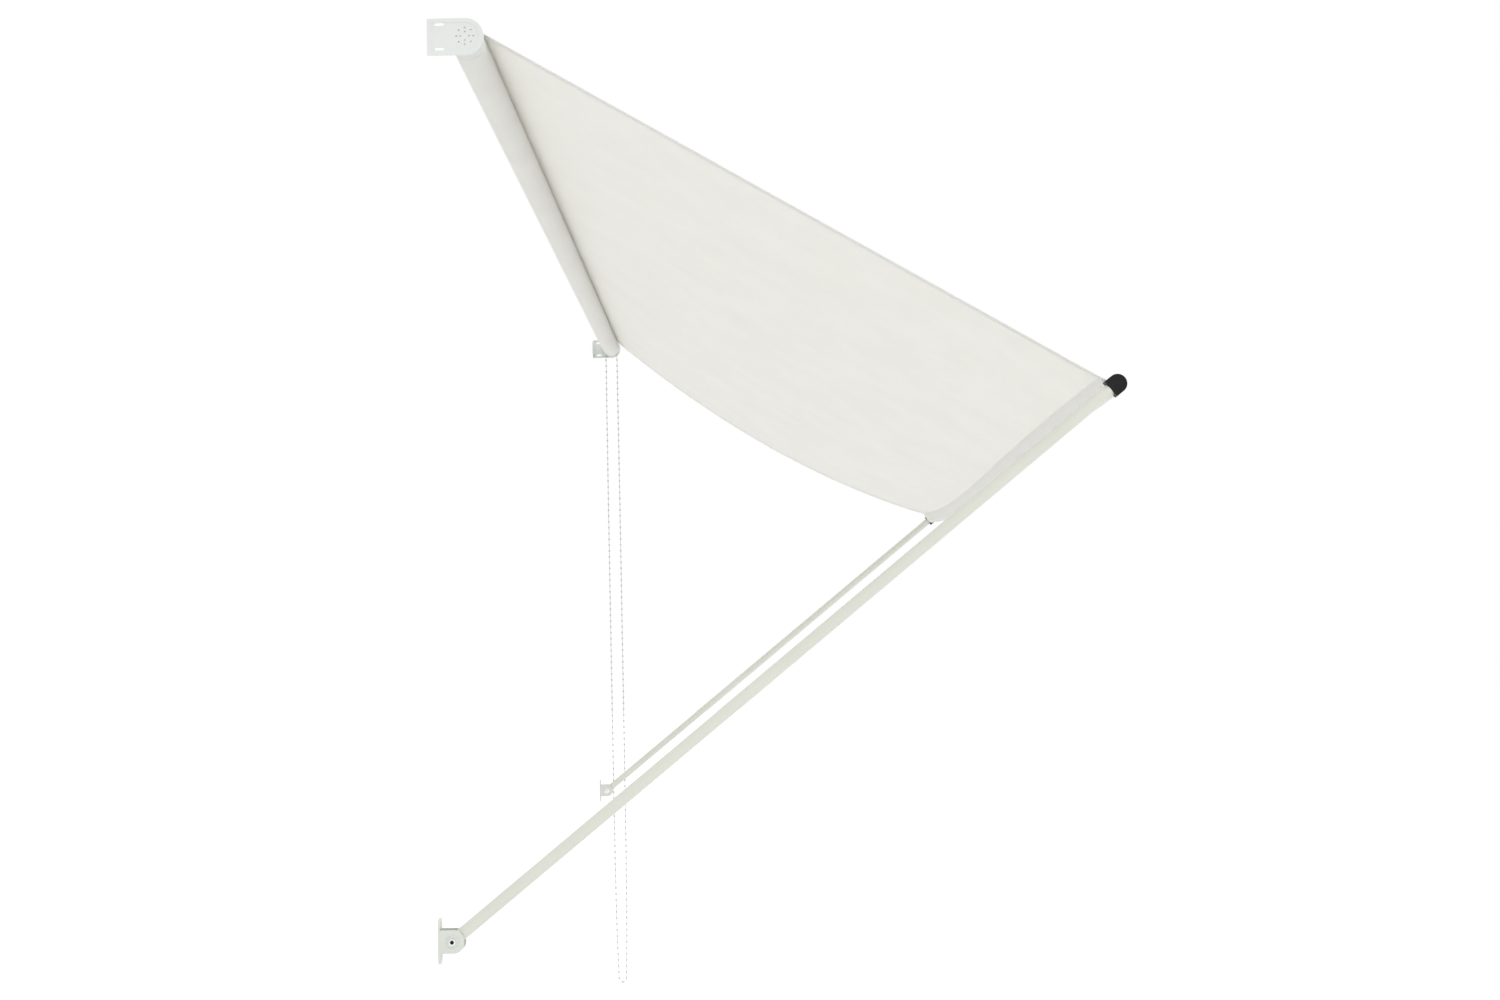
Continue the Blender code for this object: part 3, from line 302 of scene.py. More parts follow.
def thread_material():
    mat, tree, shader = new_material("sewing_thread", metallic=0.0, sheen_weight=0.3)
    place = add(tree, "TexCoord").outputs["Object"]
    twist = noise_of(tree, place, 2600.0, 2.0)
    link(tree, tint(tree, (0.74, 0.73, 0.67), (0.60, 0.59, 0.53), twist), shader, "Base Color")
    link(tree, ramp(tree, twist, 0.0, 1.0, 0.55, 0.75), shader, "Roughness")
    return mat


BRACKET_WHITE = powder_coat("bracket_white", (0.80, 0.825, 0.795), 0.40)
EAR_WHITE = powder_coat("arm_bracket_white", (0.745, 0.770, 0.705), 0.40)
ARM_CREAM = powder_coat("arm_cream", (0.745, 0.755, 0.675), 0.36)
WHITE_PLASTIC = moulded("white_plastic", (0.75, 0.76, 0.735), 0.44)
GREY_PLASTIC = moulded("grey_plastic", (0.28, 0.29, 0.30), 0.46)
BLACK_PLASTIC = moulded("black_plastic", (0.0130, 0.0133, 0.0133), 0.50, 0.16)
BEAD_PLASTIC = moulded("bead_plastic", (0.66, 0.66, 0.69), 0.36, 0.5, 2200.0)
ZINC = metal("zinc_plate", (0.86, 0.87, 0.88), 0.28, (1.0, 1.0, 6.0))
ALUMINIUM = metal("drawn_aluminium", (0.72, 0.73, 0.74), 0.34, (0.05, 8.0, 8.0))
SPRING_STEEL = metal("spring_steel", (0.22, 0.22, 0.23), 0.34, (6.0, 1.0, 1.0))
# The stretched sheet and the roll are one canvas in two copies. The sheet's colour is painted darker (painted
# shade), so that it renders no brighter than the roll under the light it gets.
SHEET_CLOTH_PAINTED_DARKER = woven("stretched_cloth_painted_darker", (0.785, 0.778, 0.728))
ROLL_CLOTH = woven("rolled_cloth", (0.850, 0.845, 0.800), glow=0.35, depth=0.001)
HEM_FABRIC = woven("hem_cloth", (0.855, 0.848, 0.808), 0.65, 0.4, 0.001)
THREAD = thread_material()


# Places and outlines, as in the CAD part

def place(x, out, up):
    return Vector((x, -out, up))


def inset(side, depth):
    return side * (SPAN / 2 - depth)


def arc(radius, first, last, steps, centre=(0.0, 0.0)):
    return [
        (
            centre[0] + radius * math.cos(first + (last - first) * i / steps),
            centre[1] + radius * math.sin(first + (last - first) * i / steps),
        )
        for i in range(steps + 1)
    ]


def circle(radius, facets, centre=(0.0, 0.0)):
    return arc(radius, 0.0, 2 * math.pi, facets, centre)[:-1]


def rectangle(x0, x1, y0, y1):
    return [(x0, y0), (x1, y0), (x1, y1), (x0, y1)]


def round_rectangle(x0, x1, y0, y1, radius, steps=10):
    quarter = math.pi / 2
    points = []
    for x, y, turn in ((x1, y1, 0), (x0, y1, 1), (x0, y0, 2), (x1, y0, 3)):
        centre = (
            x + (radius if turn in (1, 2) else -radius),
            y + (radius if turn in (2, 3) else -radius),
        )
        points += arc(radius, turn * quarter, (turn + 1) * quarter, steps, centre)
    return points


def cheek_outline(shrink):
    half = CHEEK_HALF - shrink
    nose = arc(half, -math.pi / 2, math.pi / 2, 48, ROLLER_AXIS)
    return nose + [(shrink, half), (shrink, -half)]


def slot_outline(centre, length=0.020, width=0.0065):
    straight = (length - width) / 2
    right = arc(width / 2, -math.pi / 2, math.pi / 2, 12, (centre[0] + straight, centre[1]))
    left = arc(width / 2, math.pi / 2, 3 * math.pi / 2, 12, (centre[0] - straight, centre[1]))
    return right + left


def teardrop(radius, tail, half, steps=44, tail_steps=14):
    """Round a bar, drawn out to a tail at local -x. The tail's sides are cut into short pieces."""
    reach = math.acos((radius - half) / tail)
    rounded = arc(radius, -math.pi + reach, math.pi - reach, steps)
    upper = [
        tuple(a + (b - a) * i / tail_steps for a, b in zip(rounded[-1], (-tail, half)))
        for i in range(1, tail_steps + 1)
    ]
    lower = [
        tuple(a + (b - a) * i / tail_steps for a, b in zip((-tail, -half), rounded[0]))
        for i in range(tail_steps)
    ]
    return rounded + upper + lower


# Mesh helpers

def mesh_piece(name, verts, faces, uvs=None):
    mesh = bpy.data.meshes.new(name)
    mesh.from_pydata([tuple(v) for v in verts], [], faces)
    mesh.update()
    if uvs:
        layer = mesh.uv_layers.new(name="UVMap")
        for loop in mesh.loops:
            layer.data[loop.index].uv = uvs[loop.vertex_index]
    obj = bpy.data.objects.new(name, mesh)
    bpy.context.scene.collection.objects.link(obj)
    return obj


def face_out(obj):
    work = bmesh.new()
    work.from_mesh(obj.data)
    bmesh.ops.recalc_face_normals(work, faces=work.faces)
    work.to_mesh(obj.data)
    work.free()
    return obj


def smooth(obj, angle=38.0):
    obj.data.shade_smooth()
    obj.data.set_sharp_from_angle(angle=math.radians(angle))
    return obj


def baked(obj):
    """The object with its modifiers applied, or a curve made a mesh, with its place in its vertices."""
    bpy.context.view_layer.update()
    source = obj.evaluated_get(bpy.context.evaluated_depsgraph_get())
    mesh = bpy.data.meshes.new_from_object(source)
    mesh.transform(obj.matrix_world)
    name = obj.name
    bpy.data.objects.remove(obj, do_unlink=True)
    solid = bpy.data.objects.new(name, mesh)
    solid.name = name
    bpy.context.scene.collection.objects.link(solid)
    return solid


def filled(name, outlines, matrix, low, high):
    curve = bpy.data.curves.new(name, "CURVE")
    curve.dimensions = "2D"
    curve.fill_mode = "BOTH"
    curve.extrude = (high - low) / 2
    for outline in outlines:
        spline = curve.splines.new("POLY")
        spline.points.add(len(outline) - 1)
        for point, (x, y) in zip(spline.points, outline):
            point.co = (x, y, 0.0, 1.0)
        spline.use_cyclic_u = True
    obj = bpy.data.objects.new(name, curve)
    bpy.context.scene.collection.objects.link(obj)
    obj.matrix_world = matrix @ Matrix.Translation((0.0, 0.0, (low + high) / 2))
    solid = baked(obj)
    work = bmesh.new()
    work.from_mesh(solid.data)
    bmesh.ops.remove_doubles(work, verts=work.verts, dist=1e-6)
    bmesh.ops.dissolve_limit(work, angle_limit=0.001, verts=work.verts, edges=work.edges)
    bmesh.ops.recalc_face_normals(work, faces=work.faces)
    work.to_mesh(solid.data)
    work.free()
    return solid


def side_solid(name, outlines, x0, x1, centre=(0.0, 0.0), turn=0.0):
    """Outlines of (out, up) places, turned about the centre and filled between two X places."""
    out, up = centre
    matrix = Matrix(((0, 0, -1, 0), (-1, 0, 0, -out), (0, 1, 0, up), (0, 0, 0, 1)))
    low, high = sorted((-x0, -x1))
    return filled(name, outlines, matrix @ Matrix.Rotation(turn, 4, "Z"), low, high)


def wall_solid(name, outlines, x, up, low, high):
    """Outlines of (x, z) places, filled between two distances from the wall."""
    matrix = Matrix(((1, 0, 0, x), (0, 0, -1, 0), (0, 1, 0, up), (0, 0, 0, 1)))
    return filled(name, outlines, matrix, low, high)


def lathe(name, profile, side, centre, steps=64):
    """Profile of (radius, depth) points turned about the X line through centre."""
    rings, verts = [], []
    for radius, depth in profile:
        if radius <= 1e-7:
            rings.append([len(verts)])
            verts.append(place(inset(side, depth), *centre))
            continue
        rings.append(list(range(len(verts), len(verts) + steps)))
        for y, z in circle(radius, steps, centre):
            verts.append(place(inset(side, depth), y, z))
    pairs = list(zip(rings, rings[1:]))
    if min(radius for radius, _ in profile) > 1e-7:
        pairs.append((rings[-1], rings[0]))
    faces = []
    for a, b in pairs:
        if len(a) == 1 and len(b) == 1:
            continue
        for i in range(steps):
            j = (i + 1) % steps
            if len(a) == 1:
                faces.append((a[0], b[j], b[i]))
            elif len(b) == 1:
                faces.append((a[i], a[j], b[0]))
            else:
                faces.append((a[i], a[j], b[j], b[i]))
    return face_out(mesh_piece(name, verts, faces))


def rod(name, radius, start, end, steps=48, core=0.0):
    """Cylinder between two points, or a tube if it has a core."""
    start, end = Vector(start), Vector(end)
    along = (end - start).normalized()
    across = Vector((1, 0, 0)) if abs(along.x) < 0.9 else Vector((0, 0, 1))
    across = (across - along * across.dot(along)).normalized()
    third = along.cross(across)
    verts, faces = [], []
    radii = (radius, radius, core, core) if core else (radius, radius)
    ends = (start, end, end, start)
    for r, centre in zip(radii, ends):
        for y, z in circle(r, steps):
            verts.append(centre + across * y + third * z)
    loops = [list(range(k * steps, (k + 1) * steps)) for k in range(len(radii))]
    pairs = list(zip(loops, loops[1:])) + ([(loops[-1], loops[0])] if core else [])
    for a, b in pairs:
        for i in range(steps):
            j = (i + 1) % steps
            faces.append((a[i], a[j], b[j], b[i]))
    if not core:
        faces += [tuple(loops[0][::-1]), tuple(loops[1])]
    return face_out(mesh_piece(name, verts, faces))


def combine(obj, others, operation):
    for other in others:
        step = obj.modifiers.new(operation.title(), "BOOLEAN")
        step.operation = operation
        step.solver = "EXACT"
        step.object = other
    solid = baked(obj)
    for other in others:
        bpy.data.objects.remove(other, do_unlink=True)
    return solid


def cut(obj, *others):
    return combine(obj, others, "DIFFERENCE")


def join(obj, *others):
    return combine(obj, others, "UNION")


def eased(obj, width=0.0004, segments=2, angle=40.0):
    """Small rounds on every sharp edge, with the flat faces kept flat in the shading."""
    work = bmesh.new()
    work.from_mesh(obj.data)
    bmesh.ops.remove_doubles(work, verts=work.verts, dist=1e-6)
    bmesh.ops.dissolve_limit(work, angle_limit=0.001, verts=work.verts, edges=work.edges)
    work.to_mesh(obj.data)
    work.free()
    rounds = obj.modifiers.new("Edges", "BEVEL")
    rounds.width = width
    rounds.segments = segments
    rounds.limit_method = "ANGLE"
    rounds.angle_limit = math.radians(angle)
    rounds.harden_normals = True
    obj.data.shade_smooth()
    return baked(obj)


def dress(obj, body, material, slot, *nodes):
    """Give a piece its finish, its body and the CAD nodes that it stands for."""
    obj.data.materials.clear()
    obj.data.materials.append(material)
    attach(obj, body)
    if nodes:
        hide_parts(*nodes)
    return obj


# Cloth surfaces

def bar_droop(x):
    end = SPAN / 2 - BAR_INSET
    t = min(max((x + end) / (2 * end), 0.0), 1.0)
    from_end = min(max((end - BAR_STRAIGHT - abs(x)) / BOW_EASE, 0.0), 1.0)
    ease = from_end * from_end * (3 - 2 * from_end)
    return BAR_BOW * ease * math.sin(math.pi * t ** BOW_POWER)


def cloth_slope():
    out, up = BAR_AXIS[0] - ROLLER_OUT, BAR_AXIS[1]
    reach = math.hypot(out, up)
    return math.atan2(-up, out) + math.asin((ROLL_R - CLOTH / 2) / reach)


SLOPE = cloth_slope()
SHEET_START = math.pi / 2 - SLOPE + WRAP_ANGLE


def seam_place(x):
    back = SEAM_BACK + 2 * SKIN
    return (
        BAR_AXIS[0] - back * math.cos(SLOPE),
        BAR_AXIS[1] + back * math.sin(SLOPE) - bar_droop(x),
    )


def sheet_line(x, wrap_rows=8, rows=64):
    """One line of the sheet from the roll to the seam, as outward and upward places."""
    sag = SHEET_SAG * ((x + CLOTH_END) / (2 * CLOTH_END)) ** SAG_POWER if x > -CLOTH_END else 0.0
    radius = ROLL_R - CLOTH / 2
    seam = seam_place(x)
    leave = math.pi / 2 - SLOPE
    for _ in range(6):
        start = (ROLLER_OUT + radius * math.cos(leave), radius * math.sin(leave))
        steep = math.atan2(start[1] - seam[1] + 4 * sag, seam[0] - start[0])
        leave = math.pi / 2 - steep
    points = arc(radius, SHEET_START, leave, wrap_rows, ROLLER_AXIS)
    for i in range(1, rows + 1):
        v = i / rows
        ripple = 0.0009 * math.sin(math.pi * v) ** 0.5 * noise.noise(Vector((x * 1.7, v * 3.1, 4.2)))
        points.append((
            start[0] + (seam[0] - start[0]) * v,
            start[1] + (seam[1] - start[1]) * v - 4 * sag * v * (1 - v) + ripple,
        ))
    return points


def strip(name, lines, thick, lift=0.0):
    """Closed sheet of cloth through lines of (x, points), UVs in metres. lift moves it off its middle."""
    rows = len(lines[0][1])
    grid = [[place(x, *p) for p in points] for x, points in lines]
    count = len(grid)
    verts, uvs = [], []
    for layer in (1, -1):
        for i, line in enumerate(grid):
            run = 0.0
            for j, point in enumerate(line):
                a, b = grid[max(i - 1, 0)][j], grid[min(i + 1, count - 1)][j]
                c, d = line[max(j - 1, 0)], line[min(j + 1, rows - 1)]
                normal = (d - c).cross(b - a).normalized()
                if normal.z < 0:
                    normal.negate()
                verts.append(point + normal * (lift + layer * thick / 2))
                run += (point - line[j - 1]).length if j else 0.0
                uvs.append((point.x + SPAN / 2, run))
    faces = []
    for layer in (0, 1):
        base = layer * count * rows
        for i in range(count - 1):
            for j in range(rows - 1):
                a = base + i * rows + j
                quad = (a, a + 1, a + rows + 1, a + rows)
                faces.append(quad if layer else quad[::-1])
    rim = [i * rows for i in range(count)]
    rim += [(count - 1) * rows + j for j in range(1, rows)]
    rim += [i * rows + rows - 1 for i in range(count - 2, -1, -1)]
    rim += [j for j in range(rows - 2, 0, -1)]
    under = count * rows
    for a, b in zip(rim, rim[1:] + rim[:1]):
        faces.append((a, b, b + under, a + under))
    return smooth(face_out(mesh_piece(name, verts, faces, uvs)), 50)


def stitches(name, lines):
    """Short threads that lie end to end along each line of (points, normals)."""
    verts, faces = [], []
    for points, lift in lines:
        total = 0.0
        runs = [0.0]
        for p, q in zip(points, points[1:]):
            total += (q - p).length
            runs.append(total)
        k, at = 0, STITCH * 0.3
        while at + STITCH * 0.62 < total:
            ends = []
            for s in (at, at + STITCH * 0.62):
                while k < len(runs) - 2 and runs[k + 1] < s:
                    k += 1
                share = (s - runs[k]) / max(runs[k + 1] - runs[k], 1e-9)
                ends.append((points[k].lerp(points[k + 1], share), lift[k].lerp(lift[k + 1], share)))
            (a, up), (b, _) = ends
            side = (b - a).normalized().cross(up).normalized()
            middle = (a + b) / 2
            base = len(verts)
            verts += [
                a, b, middle + side * 0.00042, middle - side * 0.00042,
                middle + up * 0.00040, middle - up * 0.00030,
            ]
            for p, q in ((2, 4), (4, 3), (3, 5), (5, 2)):
                faces.append((base, base + p, base + q))
                faces.append((base + 1, base + q, base + p))
            at += STITCH
    return smooth(face_out(mesh_piece(name, verts, faces)), 80)


def turned_about(point, centre, angle):
    """A place of (out, up) turned by angle, outwards to upwards."""
    x, y = point[0] - centre[0], point[1] - centre[1]
    c, s = math.cos(angle), math.sin(angle)
    return centre[0] + x * c - y * s, centre[1] + x * s + y * c


def squash_with_arms(obj):
    """Gives the piece a mesh of its own. It works out where the seam's end comes to with the arms raised, but
    the cloth is not shortened or moved.
    """
    rest = Vector(seam_place(-CLOTH_END))
    closed = turned_about(rest, PIVOT_AXIS, ARM_SWING)
    closed = Vector(turned_about(closed, ROLLER_AXIS, -SHEET_SHARE * ARM_SWING))
    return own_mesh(obj)


def stations(count, end):
    return [-end + 2 * end * i / count for i in range(count + 1)]


def make_sheet():
    lines = [(x, sheet_line(x)) for x in stations(150, CLOTH_END)]
    sheet = dress(
        strip("cloth_sheet_canvas", lines, CLOTH), "sheet", SHEET_CLOTH_PAINTED_DARKER, "cream_cloth", "cloth_sheet")
    pieces, rows = [], []
    for word, side in SIDES.items():
        edge = side * CLOTH_END
        inner = edge - side * SIDE_HEM
        across = [edge + (inner - edge) * i / 4 for i in range(5)]
        if side > 0:
            across.reverse()
        hem_lines = [(x, sheet_line(x)[9:]) for x in across]
        hem = strip("side_hem_" + word, hem_lines, CLOTH, -CLOTH - 0.00005)
        pieces.append(dress(hem, "sheet", HEM_FABRIC, "cream_cloth"))
        for way, lift in ((1, CLOTH / 2), (-1, -1.5 * CLOTH)):
            for shift in (0.017, 0.0195):
                rows.append(stitch_row(edge - side * shift, way, lift))
    thread = dress(stitches("side_hem_stitches", rows), "sheet", THREAD, "cream_cloth")
    pieces.append(thread)
    for obj in [sheet] + pieces:
        squash_with_arms(obj)


def stitch_row(x, way, lift):
    """Places along the sheet at x, just over one face of the cloth."""
    line = [place(x, *p) for p in sheet_line(x)][10:-1]
    points, ups = [], []
    for i, p in enumerate(line):
        along = line[min(i + 1, len(line) - 1)] - line[max(i - 1, 0)]
        normal = along.cross(Vector((1, 0, 0))).normalized()
        if normal.z < 0:
            normal.negate()
        points.append(p + normal * (lift + way * 0.00012))
        ups.append(normal * way)
    return points, ups


def make_roll():
    outer = ROLL_R - CLOTH / 2
    sweep = 2 * math.pi * ROLL_TURNS
    steps = 96 * ROLL_TURNS
    start = SHEET_START + SKIN / outer
    columns = stations(12, CLOTH_END)
    ring = []
    for layer in (1, -1):
        order = range(steps + 1) if layer > 0 else range(steps, -1, -1)
        for i in order:
            turn = sweep * i / steps
            radius = outer - TURN_PITCH * turn / (2 * math.pi) + layer * CLOTH / 2
            ring.append((radius * math.cos(start + turn), radius * math.sin(start + turn), turn * outer))
    verts, uvs, faces = [], [], []
    for x in columns:
        for out, up, run in ring:
            verts.append(place(x, ROLLER_OUT + out, up))
            uvs.append((x + SPAN / 2, -run))
    count = len(ring)
    for c in range(len(columns) - 1):
        for i in range(count):
            j = (i + 1) % count
            a, b = c * count, (c + 1) * count
            faces.append((a + i, a + j, b + j, b + i))
    half = count // 2
    last = (len(columns) - 1) * count
    for i in range(half - 1):
        faces.append((i, count - 1 - i, count - 2 - i, i + 1))
        faces.append((last + i, last + i + 1, last + count - 2 - i, last + count - 1 - i))
    roll = smooth(face_out(mesh_piece("cloth_roll_turns", verts, faces, uvs)), 50)
    dress(roll, "roller", ROLL_CLOTH, "cream_cloth", "cloth_roll")


def hugged(x, local, radius):
    """At its open ends the pocket's upper layer lies flat on the cloth and close round the bar."""
    y, z = local
    near_end = min(max((abs(x) - CLOTH_END + 0.075) / 0.06, 0.0), 1.0)
    share = near_end * near_end * (3 - 2 * near_end)
    if share == 0.0 or y > 0.0 or z < 0.0:
        return local
    close = math.sqrt(max(radius * radius - y * y, 0.0))
    return y, z + (min(z, max(close, HEM_CLOTH)) - z) * share


def hem_point(x, local, pucker=0.0):
    """Point of the hem's section at x, with the tail along the cloth's slope."""
    y, z = local
    c, s = math.cos(-SLOPE), math.sin(-SLOPE)
    reach = math.hypot(y, z)
    grow = 1.0 + pucker / reach if reach else 1.0
    y, z = y * grow, z * grow
    return place(x, BAR_AXIS[0] + y * c - z * s, BAR_AXIS[1] + y * s + z * c - bar_droop(x))


def make_hem():
    inner = BAR_R + 1.2 * SKIN
    outside = teardrop(inner + HEM_CLOTH, SEAM_BACK, HEM_CLOTH)
    inside = teardrop(inner, SEAM_BACK - SEAM_WIDTH, SKIN)
    columns = stations(260, CLOTH_END)
    verts, uvs, faces = [], [], []
    count = len(outside)
    for x in columns:
        for ring, sign, radius in ((outside, 1, inner + HEM_CLOTH), (inside, 0, inner)):
            run = 0.0
            for i, flat in enumerate(ring):
                run += math.dist(flat, ring[i - 1]) if i else 0.0
                local = hugged(x, flat, radius)
                back = max(0.0, -local[0] - 0.012) / (SEAM_BACK - 0.012)
                wave = noise.noise(Vector((x * 34.0, back * 1.6, 7.7 if local[1] > 0 else 1.3)))
                slow = noise.noise(Vector((x * 6.0, math.atan2(local[1], local[0]) * 0.8, 2.1)))
                wide = abs(local[1]) / 0.018
                pucker = sign * (0.00055 * wave * (back > 0) * min(wide, 1.0) + 0.00035 * slow)
                verts.append(hem_point(x, local, pucker))
                uvs.append((x + SPAN / 2, run))
    width = 2 * count
    for c in range(len(columns) - 1):
        for i in range(count):
            j = (i + 1) % count
            a, b = c * width, (c + 1) * width
            faces.append((a + i, a + j, b + j, b + i))
            faces.append((a + count + j, a + count + i, b + count + i, b + count + j))
    last = (len(columns) - 1) * width
    for i in range(count):
        j = (i + 1) % count
        faces.append((i, count + i, count + j, j))
        faces.append((last + i, last + j, last + count + j, last + count + i))
    hem = smooth(face_out(mesh_piece("hem_pocket_cloth", verts, faces, uvs)), 55)
    dress(hem, "arms", HEM_FABRIC, "cream_cloth", "hem_pocket")
    rows = []
    for back in (0.0335, 0.0290):
        for way in (1, -1):
            points, ups = [], []
            level = HEM_CLOTH + (SEAM_BACK - back) * math.tan(math.asin(inner / SEAM_BACK))
            for x in stations(440, CLOTH_END - 0.004):
                spot = hugged(x, (-back, way * level), inner + HEM_CLOTH)
                points.append(hem_point(x, (spot[0], spot[1] + way * 0.00015)))
                ups.append((hem_point(x, (-back, way * 0.01)) - hem_point(x, (-back, 0.0))).normalized())
            rows.append((points, ups))
    dress(stitches("hem_stitches", rows), "arms", THREAD, "cream_cloth")


# Hardware

def make_roller_bracket(word, side):
    name = "cheek_" + word
    outlines = [cheek_outline(0.0)]
    for up in (0.026, -0.026):
        outlines.append(slot_outline((0.025, up)))
    for radius, count in ((0.0175, 8), (0.0090, 4)):
        for i in range(count):
            turn = 2 * math.pi * i / count
            centre = (ROLLER_OUT + radius * math.cos(turn), radius * math.sin(turn))
            outlines.append(circle(0.0021, 20, centre))
    cheek = side_solid(name, outlines, inset(side, 0.0), inset(side, CHEEK_DEPTH))
    pocket = side_solid(
        name + "_pocket", [cheek_outline(CHEEK_WALL)], inset(side, CHEEK_PLATE), inset(side, 0.011))
    recess = side_solid(
        name + "_recess", [cheek_outline(CHEEK_BORDER)], inset(side, -0.002), inset(side, CHEEK_RECESS))
    cheek = cut(cheek, pocket, recess)
    low, high = sorted((inset(side, 0.0), inset(side, FLANGE_REACH)))
    holes = [circle(0.0035, 32, (inset(side, 0.026), up)) for up in (0.0135, -0.0135)]
    flange = wall_solid(
        name + "_flange", [rectangle(low, high, -FLANGE_HALF, FLANGE_HALF)] + holes,
        0.0, 0.0, 0.0, FLANGE_THICK)
    cheek = eased(join(cheek, flange), 0.00055)
    dress(cheek, "wall_parts", BRACKET_WHITE, "white_paint", "roller_bracket_" + word)


def make_arm_bracket(word, side):
    name = "clevis_" + word
    x = inset(side, ARM_INSET)
    holes = [circle(0.0035, 32, (0.0, up)) for up in (0.036, -0.036)]
    plate = wall_solid(name, [round_rectangle(
        -PLATE_HALF_WIDTH, PLATE_HALF_WIDTH, -PLATE_HALF_HEIGHT, PLATE_HALF_HEIGHT, PLATE_CORNER,
        16)] + holes, x, -PIVOT_DROP, 0.0, PLATE_THICK)
    out, rise = EAR_REACH - EAR_CORNER, EAR_HALF - EAR_CORNER
    lower = arc(EAR_CORNER, -math.pi / 2, 0, 20, (out, -rise))
    upper = arc(EAR_CORNER, 0, math.pi / 2, 20, (out, rise))
    outline = [(PLATE_THICK / 2, -EAR_HALF)] + lower + upper + [(PLATE_THICK / 2, EAR_HALF)]
    ears = []
    for i, way in enumerate((-1, 1)):
        ears.append(side_solid(
            f"{name}_ear_{i}", [outline, circle(0.00435, 32, (PIVOT_OUT, 0.0))],
            x + way * EAR_GAP, x + way * (EAR_GAP + EAR_THICK), (0.0, -PIVOT_DROP)))
    bracket = eased(join(plate, *ears), 0.0007)
    dress(bracket, "wall_parts", EAR_WHITE, "white_paint", "arm_bracket_" + word)


def make_pivot(word, side):
    outer, inner = ARM_INSET - EAR_GAP - EAR_THICK, ARM_INSET + EAR_GAP + EAR_THICK
    under = outer - 2 * SKIN - 0.0015
    top = under - 0.0055
    tip = inner + 2 * SKIN + 0.0015 + 0.0065 + 0.002
    flat = BOLT_HEAD_R - 0.0026
    head = [(0.0, top + 0.0045), (0.0039, top + 0.0045), (0.0039, top + 0.0003), (0.0042, top), (flat, top)]
    for i in range(1, 8):
        turn = math.pi / 2 * i / 7
        head.append((flat + 0.0026 * math.sin(turn), top + 0.0030 * (1 - math.cos(turn))))
    head += [(BOLT_HEAD_R, under), (0.0040, under), (0.0040, tip - 0.0006), (0.0034, tip), (0.0, tip)]
    bolt = smooth(lathe("pivot_screw_" + word, head, side, PIVOT_AXIS, 48), 42)
    dress(bolt, "wall_parts", ZINC, "bare_metal", "pivot_bolt_" + word)
    # Painted shade: a black disc set deep in the screw's socket stands in for the shade inside it.
    shade_disc = lathe("socket_shade_disc_" + word, [
        (0.0, top + 0.0012), (0.0030, top + 0.0010), (0.0038, top + 0.0006), (0.0038, top + 0.0042),
        (0.0, top + 0.0042),
    ], side, PIVOT_AXIS, 32)
    dress(smooth(shade_disc, 40), "wall_parts", BLACK_PLASTIC, "black_plastic")

    def ring(label, near, thick, radius, material, slot, node):
        r, b = radius, 0.00435
        soft = 0.0003
        piece = lathe(label + "_" + word, [
            (r - soft, near), (r, near + soft), (r, near + thick - soft), (r - soft, near + thick),
            (b, near + thick), (b, near),
        ], side, PIVOT_AXIS, 56)
        dress(smooth(piece, 50), "wall_parts", material, slot, node + "_" + word)

    ring("plate_washer", outer - SKIN - 0.0015, 0.0015, 0.0120, EAR_WHITE, "white_paint", "washer_outer")
    ring("nut_washer", inner + SKIN, 0.0015, 0.0120, ZINC, "bare_metal", "washer_inner")
    ring("outer_spacer", ARM_INSET - ARM_R - SKIN - 0.0010, 0.0010, 0.0100, BLACK_PLASTIC,
         "black_plastic", "spacer_outer")
    ring("inner_spacer", ARM_INSET + ARM_R + SKIN, 0.0010, 0.0100, BLACK_PLASTIC,
         "black_plastic", "spacer_inner")
    near = inner + 2 * SKIN + 0.0015
    nut = side_solid(
        "lock_nut_" + word, [circle(0.0078, 6), circle(FOOT_BORE_R, 32)], inset(side, near),
        inset(side, near + 0.0065), PIVOT_AXIS)
    dress(eased(nut, 0.0005), "wall_parts", ZINC, "bare_metal", "pivot_nut_" + word)


def arm_place(side, along, aside=0.0):
    """Point along an arm from its pivot, moved sideways inwards."""
    c, s = math.cos(ARM_ANGLE), math.sin(ARM_ANGLE)
    return place(inset(side, ARM_INSET + aside), PIVOT_OUT + along * c, -PIVOT_DROP + along * s)


